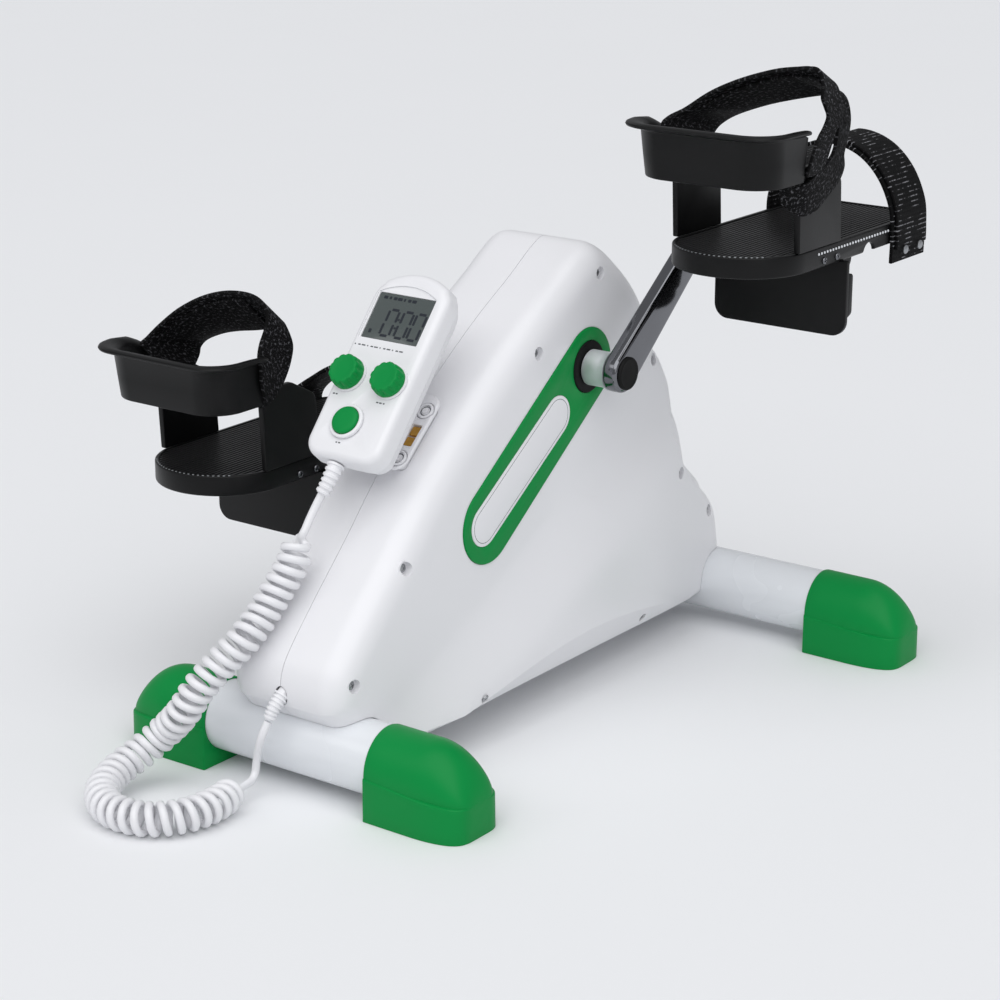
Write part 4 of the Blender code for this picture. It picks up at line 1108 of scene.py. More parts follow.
# Trim on each flank
class EXERCISER_OT_side_trim(bpy.types.Operator):
    """Adds the green racetrack trim, its bare oval plate and the rubber seal round the hub"""
    bl_idname = "exerciser.side_trim"
    bl_label = "Side trim"

    def execute(self, context):
        trim = turn(slab("trim", racetrack(TRIM_LOW, HUB, TRIM_RADIUS, 48), 49.1, 51.2, 0.7), ALONG_X)
        holes = [slab("hub_hole", circle(HUB, HUB_HOLE_RADIUS, 64), 40, 60), self.oval("well", 0.3, 50.4, 60)]
        cut(trim, [turn(join(holes), ALONG_X)])
        soften(trim, 0.25, 2, 50)
        plate = turn(self.oval("plate", 0, 50.7, 51.5, 0.3), ALONG_X)
        line = self.oval("line", -2.4, 51.3, 51.53)
        cut(line, [self.oval("inner", -2.8, 51, 52)])
        turn(line, ALONG_X)
        section = [(46, 19), (51.6, 19), (52.2, 18.6), (52.4, 17.6)]
        seal = cut(turned("seal", section, 64), [rod("bore", 9, 40, 60, 48)])
        turn(soften(seal, 0.3), across_at(*HUB))
        on_both_sides(trim, "side_trim", "green", FLIPS)
        on_both_sides(plate, "side_plate", "white", FLIPS)
        on_both_sides(line, "plate_line", "print", FLIPS, node=False)
        on_both_sides(seal, "hub_seal", "rubber", FLIPS)
        return {"FINISHED"}

    @staticmethod
    def oval(name, wider, low, high, top_round=0.0):
        """The label plate's form, made wider or narrower."""
        return slab(name, racetrack(LABEL_LOW, LABEL_HIGH, LABEL_RADIUS + wider, 40), low, high, top_round)


# Base
class EXERCISER_OT_base(bpy.types.Operator):
    """Adds the two steel tubes and the four moulded foot caps"""
    bl_idname = "exerciser.base"
    bl_label = "Base"

    def execute(self, context):
        for end, face in CAP_FACES.items():
            y = AXLE_SPACING / 2 * (1 if end == "rear" else -1)
            half = face + 36
            profile = [(-half, TUBE_RADIUS - 0.8), (-half + 0.8, TUBE_RADIUS), (half - 0.8, TUBE_RADIUS),
                       (half, TUBE_RADIUS - 0.8)]
            tube = turned(end + "_tube_skin", profile, 96)
            cut(tube, [rod("bore", TUBE_BORE, -half - 1, half + 1, 64)])
            present(settle(tube, across_at(y, TUBE_AXIS_HEIGHT)), "enamel", "machine", end + "_tube")
            cap = self.cap(face)
            bore = rod("bore", TUBE_RADIUS + 0.2, face - 5, face + 37, 96)
            cut(cap, [turn(bore, across_at(0, TUBE_AXIS_HEIGHT))])
            soften(cap, 0.5, 2, 50)
            places = [Matrix.Translation((0, y, 0)) @ flip for flip in FLIPS]
            on_both_sides(cap, "foot_cap_" + end, "green", places, angle=40)
        return {"FINISHED"}

    @staticmethod
    def section(width, reach, share):
        """A crown that stands back a little from the skirt below it, whose top edge sinks outwards."""
        skirt = 30.4 - 6 * reach / CAP_LENGTH
        flare = 0.6 + 0.9 * reach / CAP_LENGTH
        inset = min(0.45 + 0.9 * eased((reach - 38) / 20), width * 0.2)
        wall = [(width + flare, 0), (width + flare * 0.9, skirt * 0.4), (width + flare * 0.75, skirt * 0.8),
                (width + flare * 0.7, skirt - 1.2), (width + flare * 0.55, skirt - 0.5),
                (width + 0.1, skirt - 0.1), (width - inset, skirt), (width - inset - 0.05, skirt + 0.5)]
        crown = (CAP_TOP - skirt) * share
        top = [((width - inset - 0.1) * math.cos(lean), max(skirt + 0.8, skirt + crown * math.sin(lean)))
               for lean in [math.radians(4.5 * step) for step in range(1, 40)]]
        return wall + top + [(-a, b) for a, b in reversed(wall)]

    def cap(self, face):
        """A foot cap: straight for half of its length, then drawn in to a rounded end."""
        straight = CAP_LENGTH / 2
        rings = [(0, CAP_HALF - 0.9, 0.975), (0.4, CAP_HALF - 0.3, 0.99)]
        rings += [(reach, CAP_HALF, 1) for reach in (1.5, 12, 24, straight)]
        for lean in np.radians([*range(4, 85, 4), 86, 88]):
            reach = straight + (CAP_LENGTH - straight) * math.sin(lean)
            rings.append((reach, CAP_HALF * math.cos(lean) ** 0.42, math.cos(lean) ** 1.3))
        return loft("cap", [[(face + reach, a, b) for a, b in self.section(width, reach, share)]
                            for reach, width, share in rings])


# Crank
class EXERCISER_OT_crank(bpy.types.Operator):
    """Adds the plated arms, their caps and the pedal spindles"""
    bl_idname = "exerciser.crank"
    bl_label = "Crank"

    def execute(self, context):
        hub = Matrix.Translation((0, *HUB)) @ Matrix.Rotation(CRANK_ANGLE, 4, "X") @ ALONG_X
        places = [hub, hub @ FLIPS[1] @ Matrix.Scale(-1, 4, (0, 0, 1))]
        lean = math.degrees(math.asin((ARM_HUB_END - ARM_PEDAL_END) / CRANK_LENGTH))
        outline = arc((CRANK_LENGTH, 0), ARM_PEDAL_END, lean - 90, 90 - lean, 28)
        outline += arc((0, 0), ARM_HUB_END, 90 - lean, 270 + lean, 36)
        arm = slab("arm", outline, *ARM_FACES, 3.4, 2.6, 6)
        boss = turned("boss", [(52.9, 12.2), (53.7, 13), (66, 13), (70, 13.4), (72.3, 14.4)], 64)
        cut(boss, [rod("bore", 8.3, 50, 66.3, 40)])
        cap = turned("cap", [(84.3, 12), (85.4, 12), (86.1, 11.6), (86.5, 10.6), (86.3, 9.4), (86.6, 5)], 64)
        profile = [(84.3, 8), (84.7, 8.5), (88.6, 8.5), (89, 8.1), (89, 5), (198.3, 5), (199, 4.4)]
        spindle = turned("spindle", profile, 40, (CRANK_LENGTH, 0))
        # Arm and boss are one chrome part: the boss's finish is painted bright and the arm's painted dark, as
        # lit and shaded copies.
        for model, stem, look, node in (
                (arm, "crank_arm", "chrome", True), (boss, "crank_boss", "satin", False),
                (cap, "crank_cap", "rubber", True), (spindle, "pedal_spindle", "zinc", True)):
            on_both_sides(model, stem, look, places, ("crank", "crank"), node, 30)
        for node, look in (("crank_axle", "zinc"), ("drive_gear", "brass"), ("drive_worm", "zinc"),
                           ("drive_motor", "black"), ("drive_bracket", "zinc"), ("chassis_beam", "zinc")):
            joined_copy(node, look, 0.4, 30)
        return {"FINISHED"}


# Pedals, each piece modelled for the right foot round its spindle: X outwards, Y to the toes, Z up
PLATE_TOP = 16.0
PLATE_HALF = 50.0
PLATE_HEEL = -63.0
PLATE_TOE = 113.0


def pedal_place(side, mirrored=True):
    """Where a pedal's spindle lies, with the piece mirrored for the left foot or not."""
    y = HUB[0] + side * CRANK_LENGTH * math.cos(CRANK_ANGLE)
    z = HUB[1] + side * CRANK_LENGTH * math.sin(CRANK_ANGLE)
    turn_over = side if mirrored else 1
    return Matrix.Translation((side * PEDAL_CENTRE, y, z)) @ Matrix.Scale(turn_over, 4, (1, 0, 0))


def pair_up(model, stem, look, node=True, angle=35, mirrored=True):
    """Gives each pedal its own copy of a piece."""
    places = [pedal_place(side, mirrored) for side, _ in SIDES]
    on_both_sides(model, stem, look, places, ["pedal_" + label for _, label in SIDES], node, angle)


def plate_outline(inward):
    """The footplate from above: a half-round heel and a toe edge with rounded corners."""
    half, toe, corner = PLATE_HALF - inward, PLATE_TOE - inward, 16 - inward
    heel = arc((0, PLATE_HEEL), half, 180, 360, 48)
    right = arc((half - corner, toe - corner), corner, 0, 90, 10)
    left = arc((corner - half, toe - corner), corner, 90, 180, 10)
    return heel + right + left


class EXERCISER_OT_footplates(bpy.types.Operator):
    """Adds the footplates with their ribbed pads, bright studs along the rim and side as painted highlights,
    and the screws in the side
    """
    bl_idname = "exerciser.footplates"
    bl_label = "Footplates"

    def execute(self, context):
        plate = slab("plate", plate_outline(0), 1, PLATE_TOP, 1.2, 1.6, 3)
        well = slab("well", plate_outline(3), 12, 20)
        under = slab("under", plate_outline(3), -2, 9.5)
        notch = turn(rod("notch", 7.5, -60, -40, 40), ALONG_X)
        arch = turn(rod("arch", 9, 44, 56, 40), across_at(27, -1))
        cut(plate, [well, under, notch, arch])
        pair_up(soften(plate, 0.4, 2, 50), "footplate", "black")
        pair_up(self.pad(), "foot_pad", "pad")
        # The heel and side studs are painted highlights: bright zinc and white enamel where the serrated
        # edges catch the light.
        pair_up(self.heel_highlight_studs(), "heel_highlight_studs", "zinc", node=False)
        pair_up(self.side_highlight_studs(), "side_highlight_studs", "enamel", node=False)
        pair_up(self.side_screws(), "plate_screws", "chrome", node=False, mirrored=False)
        return {"FINISHED"}

    @staticmethod
    def pad():
        """A mat with fine lengthwise ribs, trimmed to the plate's inner outline."""
        half, count = 46.4, 26
        pitch = 2 * half / count
        underside, valley, shoulder, crest = 12.3, 14.2, 15.0, 15.4
        profile = [(-half, underside), (half, underside)]
        for rib in range(count):
            edge = half - rib * pitch
            profile += [(edge, shoulder), (edge - 0.5, crest), (edge - pitch * 0.5, crest),
                        (edge - pitch * 0.62, shoulder), (edge - pitch * 0.7, valley),
                        (edge - pitch + 0.2, valley)]
        pad = turn(slab("pad", profile, -120, 120), ALONG_Y)
        return cut(pad, [slab("trim", plate_outline(3.4), 10, 20)], "INTERSECT")

    @staticmethod
    def heel_highlight_studs():
        """Bright zinc bars along the heel rim: painted highlights where its knurled edge catches the light.
        """
        path = evenly([Vector((*spot, PLATE_TOP)) for spot in plate_outline(1.4)], 230)
        places = [Matrix.Translation(spot) @ Matrix.Rotation(math.atan2(tangent.y, tangent.x), 4, "Z")
                  for spot, (tangent, _, _) in list(zip(path, frames_along(path)))[::2] if spot.y < -95]
        return scattered(slab("stud", rounded_box((0, 0), 0.8, 0.5, 0.2, 2), -0.3, 0.4), "studs", places)

    @staticmethod
    def side_highlight_studs():
        """A row of white studs along the plate's outer side: painted highlights where its serrated edge
        catches the light.
        """
        places = [across_at(-46 + 4 * index, 11.5, PLATE_HALF) for index in range(26)]
        return scattered(slab("stud", circle((0, 0), 0.95, 10), -0.2, 0.6, 0.3), "studs", places)

    @staticmethod
    def side_screws():
        """The two screws low on the plate's right side."""
        places = [across_at(y, 5.6, PLATE_HALF - 0.1) @ Matrix.Rotation(0.5 + y, 4, "Z") for y in (-38, -20)]
        return scattered(screw("side_screw", 2.6), "screws", places)


class EXERCISER_OT_guards(bpy.types.Operator):
    """Adds the guard plates that hang under the footplates, with the bosses that turn on the spindles"""
    bl_idname = "exerciser.guards"
    bl_label = "Guard plates"

    def execute(self, context):
        outline = rounded([(-54, 0.7, 1), (-54, -54, 11), (54, -54, 11), (54, 0.7, 1)], 8)
        plate = soften(turn(slab("guard", outline, -12, -8), ALONG_Y), 0.5, 3, 50)
        edge = rounded([(-11.5, -9, 0.6), (-11.5, -42, 2), (-2, -38, 3), (-2, -9, 3)])
        flanges = [soften(turn(slab("flange", edge, low, low + 2.6), ALONG_X), 0.4, 2, 50)
                   for low in (51.2, -53.8)]
        boss = turned("boss", [(-46, 8.4), (-45.4, 9), (45.4, 9), (46, 8.4)], 48)
        cut(boss, [rod("bore", 5.4, -50, 45, 40)])
        guard = join([plate] + flanges + [turn(boss, ALONG_X)])
        pair_up(guard, "guard_plate", "black")
        return {"FINISHED"}


class EXERCISER_OT_heel_cups(bpy.types.Operator):
    """Adds the heel cups with their rolled rims on two posts each"""
    bl_idname = "exerciser.heel_cups"
    bl_label = "Heel cups"

    # Half-width, back and height, from the inner foot of the wall over the rolled rim and down again
    WALL = (
        (49.7, -122.5, 67.0), (50.1, -122.9, 66.2), (50.9, -123.7, 66.0), (52.2, -125.0, 66.0),
        (52.8, -125.6, 66.3), (53.1, -125.9, 67.0), (54.3, -127.4, 82.0), (55.4, -129.0, 98.2),
        (56.3, -130.0, 99.6), (58.6, -132.6, 100.5), (61.0, -135.4, 100.9), (62.1, -136.8, 101.5),
        (62.6, -137.3, 102.6), (62.2, -136.9, 103.7), (60.9, -135.4, 104.4), (58.8, -133.0, 104.5),
        (57.0, -131.0, 104.0), (54.6, -128.4, 102.8), (53.0, -126.7, 100.8), (52.2, -126.0, 98.4),
        (51.0, -124.3, 82.0),
    )
    FOOT, LIP, TOP = 66.0, 98.6, 104.5
    LIP_FROM = 8
    END_Y = -76.0
    CORNER = 24.0
    SINK_FROM = -103.0
    SINK_LEFT, SINK_RIGHT = 0.5, 0.06

    def execute(self, context):
        cup = self.cup()
        post = rounded([(-75, 16.3, 1), (-17, 16.3, 1), (-20, 62, 9), (-46, 76, 9), (-78, 76, 2),
                        (-78, 67, 2)], 8)
        for low in (46.7, -51.2):
            cut(cup, [soften(turn(slab("post", post, low, low + 4.5), ALONG_X), 0.8, 3, 50)], "UNION")
        slot = rounded_box((-54, 63), 11, 1.8, 1.5, 5)
        cut(cup, [turn(slab("strap_slot", slot, -54, -44), ALONG_X)])
        pair_up(cup, "heel_cup", "black", angle=40, mirrored=False)
        return {"FINISHED"}

    def path(self, half, back):
        """The cup from above, from its inner end round the back to its outer end."""
        sides = [self.END_Y - step for step in (0, 1.2, 3, 6, 11, 16, 21)]
        left = arc((self.CORNER - half, back + self.CORNER), self.CORNER, 180, 270, 22)
        right = arc((half - self.CORNER, back + self.CORNER), self.CORNER, 270, 360, 22)
        return [(-half, y) for y in sides] + left + right + [(half, y) for y in reversed(sides)]

    def cup(self):
        """A wall whose rim fades to a plain edge and sinks towards both ends, more so at the left."""
        plain = self.path(53.6, -126.6)
        rows = []
        for number, (half, back, z) in enumerate(self.WALL):
            spots = []
            for index, ((x, y), (base_x, base_y)) in enumerate(zip(self.path(half, back), plain)):
                to_end = min(index, len(plain) - 1 - index)
                fade = eased((to_end + 0.6) / 4.6) if number >= self.LIP_FROM else 1
                past = max(0, base_y - self.SINK_FROM)
                sink = self.SINK_RIGHT if base_x > 0 else self.SINK_LEFT
                sink *= past ** 2 / (past + 6) * max(0, z - self.FOOT) / (self.TOP - self.FOOT)
                level = self.LIP + (z - self.LIP) * (0.3 + 0.7 * fade) if z > self.LIP else z
                spots.append((base_x + (x - base_x) * fade, base_y + (y - base_y) * fade, level - sink))
            rows.append(spots)
        return loft("cup", [list(ring) for ring in zip(*rows)])


# Straps
def edges_of(near, far, count=110):
    """Pairs of points on a strap's two edges, from the routes of those edges."""
    return list(zip(*(evenly(curve_through(route, 10), count) for route in (near, far))))


def over(pairs, start, end, inset, lift):
    """The pairs of a second layer: part of a strap's length, a little narrower and lifted off its face."""
    laid = []
    for before, (a, b), after in zip(pairs[start:], pairs[start + 1:], pairs[start + 2:end]):
        out = (after[0] - before[0]).cross(b - a).normalized() * lift
        laid.append((a.lerp(b, inset) + out, b.lerp(a, inset) + out))
    return laid


def woven(name, pairs, thickness):
    """A strap between two edges, in millimetres, with its length and width in metres as UVs."""
    points, places = [], []
    across, along = 10, 0.0
    for index, (a, b) in enumerate(pairs):
        if index:
            along += ((a + b) / 2 - sum(pairs[index - 1], Vector()) / 2).length
        for step in range(across + 1):
            points.append(a.lerp(b, step / across))
            places.append((along * MM, (b - a).length * step / across * MM))
    faces = []
    for row in range(len(pairs) - 1):
        for column in range(across):
            base = row * (across + 1) + column
            faces.append((base, base + 1, base + across + 2, base + across + 1))
    obj = new_mesh_piece(name, points, faces)
    layer = obj.data.uv_layers.new(name="strap")
    for loop in obj.data.loops:
        layer.data[loop.index].uv = places[loop.vertex_index]
    thicken(obj, thickness, 0, even=False)
    return soften(obj, thickness * 0.3, 2, 60)


# The instep strap's two edges from the post's slot into the cup, the same on both pedals
ROOT_NEAR = (
    (-53, -59, 46), (-53, -59, 56), (-50, -59, 62.6), (-46.2, -60, 65), (-45.3, -68, 74), (-47.5, -86, 88),
    (-50.3, -93, 97.5), (-48, -88, 102.5),
)
ROOT_FAR = (
    (-53, -49, 46), (-53, -49, 56), (-50, -49, 62.6), (-46.2, -48, 65), (-45.3, -44, 72), (-45.3, -38, 80),
)
# Then over the foot, down the other side and round the post's rear edge, as each lies in the photograph
ARCH_NEAR = {
    "right": (
        (-41, -79, 107.5), (-28, -68, 118.5), (-9, -61.5, 128), (17, -60, 136.5), (36, -60, 140),
        (46, -60, 141), (52, -58, 138), (54.5, -50, 131), (54, -41, 120), (53.5, -35, 108),
        (53.3, -33, 96), (53.2, -36, 84), (53.4, -42, 78), (53.8, -52, 74), (53.6, -62, 70),
        (52.8, -71, 66), (50, -77.5, 63.5), (46, -84, 63.5), (41, -88, 65)),
    "left": (
        (-40, -83, 112), (-24, -80, 125), (-4, -77, 136), (16, -74, 142), (34, -71, 142.5),
        (44.5, -69, 138), (49.5, -69, 130), (51, -73, 120), (52.5, -80, 111), (55, -85, 103),
        (57.3, -86, 96), (57.4, -86, 88), (56.8, -84, 80), (54.5, -80, 72), (51.5, -80, 68), (49, -81, 66)),
}
ARCH_FAR = {
    "right": (
        (-45.5, -31, 87), (-41.5, -27, 92.5), (-31, -23, 99), (-8, -20, 107.5), (17, -18, 114),
        (36, -17, 118), (44, -17, 119.5), (49.5, -17, 116), (52.3, -17, 110), (53, -16, 102),
        (53, -17, 94), (52.9, -20, 86), (52.8, -23, 78), (52.8, -22, 69), (53.2, -30, 60),
        (53.6, -46, 52), (53.4, -60, 45), (51.5, -75, 43), (46.5, -82, 47), (41, -86, 53)),
    "left": (
        (-46, -35, 86), (-38, -35, 93), (-20, -38, 100.5), (-2, -41, 105.5), (16, -43, 109),
        (31, -47, 113), (42, -51, 118.5), (49, -52, 120), (52.4, -50, 113), (54.4, -48.5, 104),
        (55, -51, 95), (54.6, -55, 86), (54, -61, 77), (53, -68, 70), (51, -74, 65.5), (49, -78, 64)),
}
# On the right pedal a second turn leaves the arch, crosses in front of the leg and ends under it
CROSSING_NEAR = (
    (36, -58, 136.5), (41, -59, 139.4), (47, -60, 141.4), (52.5, -60, 139.6), (56, -60.5, 131),
    (56.2, -61.5, 122), (56.2, -57, 115), (56.2, -53, 108.5), (56.2, -57, 102), (56.4, -64, 96),
    (56.6, -70, 88), (56, -74, 79), (53.5, -75, 70),
)
CROSSING_FAR = (
    (36, -36, 124), (41, -35.5, 127.3), (47, -35, 129.3), (52.5, -35, 126), (55.5, -34.5, 118),
    (56, -34.5, 110), (56, -36.5, 103), (56, -41, 96), (56, -46, 88), (55.6, -50, 80), (54.5, -54, 73),
    (52.8, -56, 68),
)
# The toe strap as (x, z), and how far along the pedal it reaches. The left one has slumped.
TOE_ROUTES = {
    "right": ((-51.8, -13), (-51.8, 8), (-50.5, 28), (-41, 51), (-24, 65), (0, 70), (22, 64), (39, 49),
              (49.5, 28), (51.8, 8), (51.8, -13)),
    "left": ((-51.8, -13), (-51.8, 6), (-50, 20), (-40, 31), (-20, 45), (2, 58), (22, 61), (39, 49),
             (49.5, 28), (51.8, 8), (51.8, -13)),
}
TOE_REACH = (56, 106)


class EXERCISER_OT_straps(bpy.types.Operator):
    """Adds the woven instep and toe straps with their second layers and rivets"""
    bl_idname = "exerciser.straps"
    bl_label = "Straps"

    def execute(self, context):
        for side, label in SIDES:
            instep, toe = "instep_strap_" + label, "toe_strap_" + label
            pairs = edges_of(ROOT_NEAR + ARCH_NEAR[label], ROOT_FAR + ARCH_FAR[label], 170)
            self.put(woven(instep + "_skin", pairs, 2.6), side, "webbing", instep)
            self.put(woven("instep_layer_" + label, over(pairs, 48, 108, 0.14, -2.3), 2.0), side, "webbing")
            pairs = edges_of(*([(x, y, z) for x, z in TOE_ROUTES[label]] for y in TOE_REACH))
            self.put(woven(toe + "_skin", pairs, 2.8), side, "toe webbing", toe)
            self.put(woven("toe_layer_" + label, over(pairs, 52, 106, 0.05, 2.6), 2.4), side, "toe webbing")
        self.put(woven("instep_crossing", edges_of(CROSSING_NEAR, CROSSING_FAR), 2.4), 1, "webbing")
        rivet = turned("rivet", [(0, 3.2), (0.6, 3.2), (1.3, 2.5), (1.6, 1.2)], 28)
        rivets = scattered(rivet, "rivets", [across_at(y, -4, 56.4) for y in (70, 92)])
        pair_up(rivets, "strap_rivets", "zinc", node=False)
        return {"FINISHED"}

    @staticmethod
    def put(strap, side, look, node=None):
        """Straps aren't mirrored, because each pedal's lie in their own way."""
        settle(strap, pedal_place(side, mirrored=False))
        present(strap, look, "pedal_" + dict(SIDES)[side], node)


# Handset, modelled flat: X across, Y to its head, Z out of its face
FACE = 26.0
CASE_HALF = (32.0, 72.0)
DISPLAY_CENTRE = (-2.0, 36.0)
DISPLAY_HALF = (24.2, 17.8)
KNOBS = ((-18.8, -11.5), (16.5, -11.5))
BUTTON = (-4.0, -45.0)
BUTTON_BORE = 10.4


def case_outline(inward):
    """The handset's front: a straight foot with rounded corners and an arched head."""
    half, end, corner = CASE_HALF[0] - inward, CASE_HALF[1] - inward, 13.0 - inward
    crown = 12.0
    radius = (half ** 2 + crown ** 2) / (2 * crown)
    spread = math.degrees(math.asin((half - 6.0) / radius))
    foot = arc((corner - half, corner - end), corner, 180, 270, 10)
    foot += arc((half - corner, corner - end), corner, 270, 360, 10)
    head = arc((0, end - radius), radius, 90 - spread, 90 + spread, 36)
    shoulder = end - crown
    right = [(half, shoulder - 10), (half - 0.3, shoulder - 6.5), (half - 1.0, shoulder - 3.4),
             (half - 2.2, shoulder - 0.8), (half - 4.0, shoulder + 1.2)]
    left = [(-across, along) for across, along in reversed(right)]
    return foot + right + head + left


def case(name, levels):
    """A case half from (height, inward) pairs."""
    return loft(name, [[(a, b, z) for a, b in case_outline(inward)] for z, inward in levels])


def on_handset(obj, look, node=None, angle=35, body="handset"):
    present(settle(obj, HANDSET_FRAME), look, body, node, angle)


class EXERCISER_OT_handset(bpy.types.Operator):
    """Adds the handset's two case halves with the display's recess and brow"""
    bl_idname = "exerciser.handset"
    bl_label = "Handset case"

    def execute(self, context):
        back = case("handset_back_skin", [(0, 6.4), (0.2, 5.6), (0.9, 4.6), (1.9, 3.9), (3.2, 3.2),
                                          (10.2, 0.6), (10.7, 0.8)])
        on_handset(back, "white", "handset_back")
        rim = [(11, 0.3), (11.4, 0), (19, 0.1)]
        roll_height, roll_width = 5.6, 5.2
        rim += [(FACE - roll_height + roll_height * math.sin(lean), 0.2 + roll_width * (1 - math.cos(lean)))
                for lean in np.radians(np.arange(9) * 11.25)]
        front = case("handset_front_skin", rim)
        well = slab("well", rounded_box(DISPLAY_CENTRE, *DISPLAY_HALF, 0.6, 4), FACE - 3.5, FACE + 5)
        bore = rod("bore", BUTTON_BORE, FACE - 3.3, FACE + 5, 56, BUTTON)
        cut(front, [self.brow(), well, bore])
        soften(front, shell_rounding(), 2, 50)
        on_handset(front, "white", "handset_front", 30)
        return {"FINISHED"}

    @staticmethod
    def brow():
        """The cutter for the shallow sill round the display, arched above it."""
        x, y = DISPLAY_CENTRE
        half_x, half_y = DISPLAY_HALF
        ledge = y - half_y - 1
        sill = [(x + half_x + 1, ledge)] + arc((x, y - 24), 48.5, 59, 121, 24) + [(x - half_x - 1, ledge)]
        return slab("sill", sill, FACE - 1, FACE + 5)


class EXERCISER_OT_display(bpy.types.Operator):
    """Adds the display's glass with a row of marks and the digits of a clock at nought"""
    bl_idname = "exerciser.display"
    bl_label = "Display"

    def execute(self, context):
        x, y = DISPLAY_CENTRE
        half_x, half_y = (half - 0.3 for half in DISPLAY_HALF)
        outline = rounded_box(DISPLAY_CENTRE, half_x, half_y, 0.5, 4)
        on_handset(slab("display_skin", outline, FACE - 3.2, FACE - 1.6, 0.2), "screen", "display")
        marks = []
        for left in (-10.0, 2.4, 13.4):
            marks += self.digit(x + left, y - 4, 8.2, 20)
        for level in (-3.2, 3.2):
            marks.append(self.bar((x + 0.3 + level * 0.06, y - 4 + level), 0.8, 0.8))
        for index, width in enumerate((2.2, 1.2, 2.0, 2.6, 1.0, 1.8, 2.4)):
            marks.append(self.bar((x - 18 + index * 4.1, y + 14.4), width * 0.75, 1.1))
        marks.append(self.bar((x - 19, y - 12), 1.1, 1.5))
        on_handset(join(marks), "segments")
        return {"FINISHED"}

    @staticmethod
    def bar(centre, half_a, half_b):
        """One bar of a digit, or a mark, just proud of the glass."""
        outline = rounded_box(centre, half_a, half_b, min(half_a, half_b) * 0.5, 3)
        return slab("display_digits", outline, FACE - 1.62, FACE - 1.5)

    def digit(self, left, middle, width, height):
        """A seven-segment nought: its six outer bars, slanted a little."""
        stroke, slant = 0.95, 0.06
        bars = []
        for rise in (-height / 2, height / 2):
            bars.append(self.bar((left + width / 2 + rise * slant, middle + rise), width / 2 - 1.2, stroke))
        for rise in (-height / 4, height / 4):
            for across in (left, left + width):
                bars.append(self.bar((across + rise * slant, middle + rise), stroke, height / 4 - 1.0))
        return bars


class EXERCISER_OT_controls(bpy.types.Operator):
    """Adds the two fluted knobs, the push button, their white collars and rows of bare grey dashes"""
    bl_idname = "exerciser.controls"
    bl_label = "Controls"

    def execute(self, context):
        for number, centre in enumerate(KNOBS, 1):
            node = "knob_collar_%d" % number
            rim = [(FACE + 0.3, 12.7), (FACE + 1.2, 12.7), (FACE + 1.7, 12.4), (FACE + 1.9, 11.8)]
            on_handset(turned(node + "_skin", rim, 64, centre), "white", node)
            node = "knob_%d" % number
            knob = turn(self.knob(node + "_skin"), Matrix.Translation((*centre, 0)))
            on_handset(knob, "green", node, 32, node)
        rim = [(FACE + 0.3, 12.7), (FACE + 2.0, 12.7), (FACE + 2.6, 12.4), (FACE + 2.8, 11.8)]
        collar = turned("button_collar_skin", rim, 64, BUTTON)
        cut(collar, [rod("bore", BUTTON_BORE, FACE - 3, FACE + 5, 64, BUTTON)])
        on_handset(soften(collar, 0.3), "white", "button_collar")
        top = [(FACE - 1.5, 10), (FACE + 3.6, 10), (FACE + 4.3, 9.7), (FACE + 4.7, 9.1), (FACE + 5, 6),
               (FACE + 5.1, 3)]
        button = turned("push_button_skin", top, 56, BUTTON)
        on_handset(button, "green", "push_button", 40, "button")
        self.dashes()
        return {"FINISHED"}

    @staticmethod
    def knob(name):
        """A fluted knob with a plain foot and a flat, softly dished top."""
        radius, flutes = 12, 12
        rings = []
        for z, inward, depth in (
                (28.2, 0, 0.1), (30.5, 0, 0.15), (31.2, 0.1, 0.8), (34.6, 0.4, 0.85), (36, 0.8, 0.8),
                (36.7, 1.4, 0.6), (37, 2.4, 0.3), (37, 3.4, 0.1), (36.7, 4.2, 0), (36.6, 8, 0)):
            ring = []
            for step in range(120):
                around = 2 * math.pi * step / 120
                flute = depth * (0.5 - 0.5 * math.cos(flutes * around)) ** 2 * 1.2
                reach = radius - inward - flute
                ring.append((reach * math.cos(around), reach * math.sin(around), z))
            rings.append(ring)
        return loft(name, rings)

    @staticmethod
    def dashes():
        """Bare dashes where such a handset carries its captions, as (y, x, half-length)."""
        rows = [(12.0, -26.5 + index * 3.6, 0.5 + 0.55 * ((index * 7) % 3)) for index in range(12)]
        rows += [(-26.6, -25.4, 0.9), (-26.6, -23, 0.8), (-27, 12.4, 1.0), (-27, 15.2, 1.1), (-27, 18, 0.7)]
        rows += [(-60.5, -5.6, 0.7), (-60.5, -3.2, 0.9)]
        marks = [slab("caption_dashes", rounded_box((x, y), half, 0.5, 0.15, 2), FACE - 0.1, FACE + 0.03)
                 for y, x, half in rows]
        on_handset(join(marks), "print")


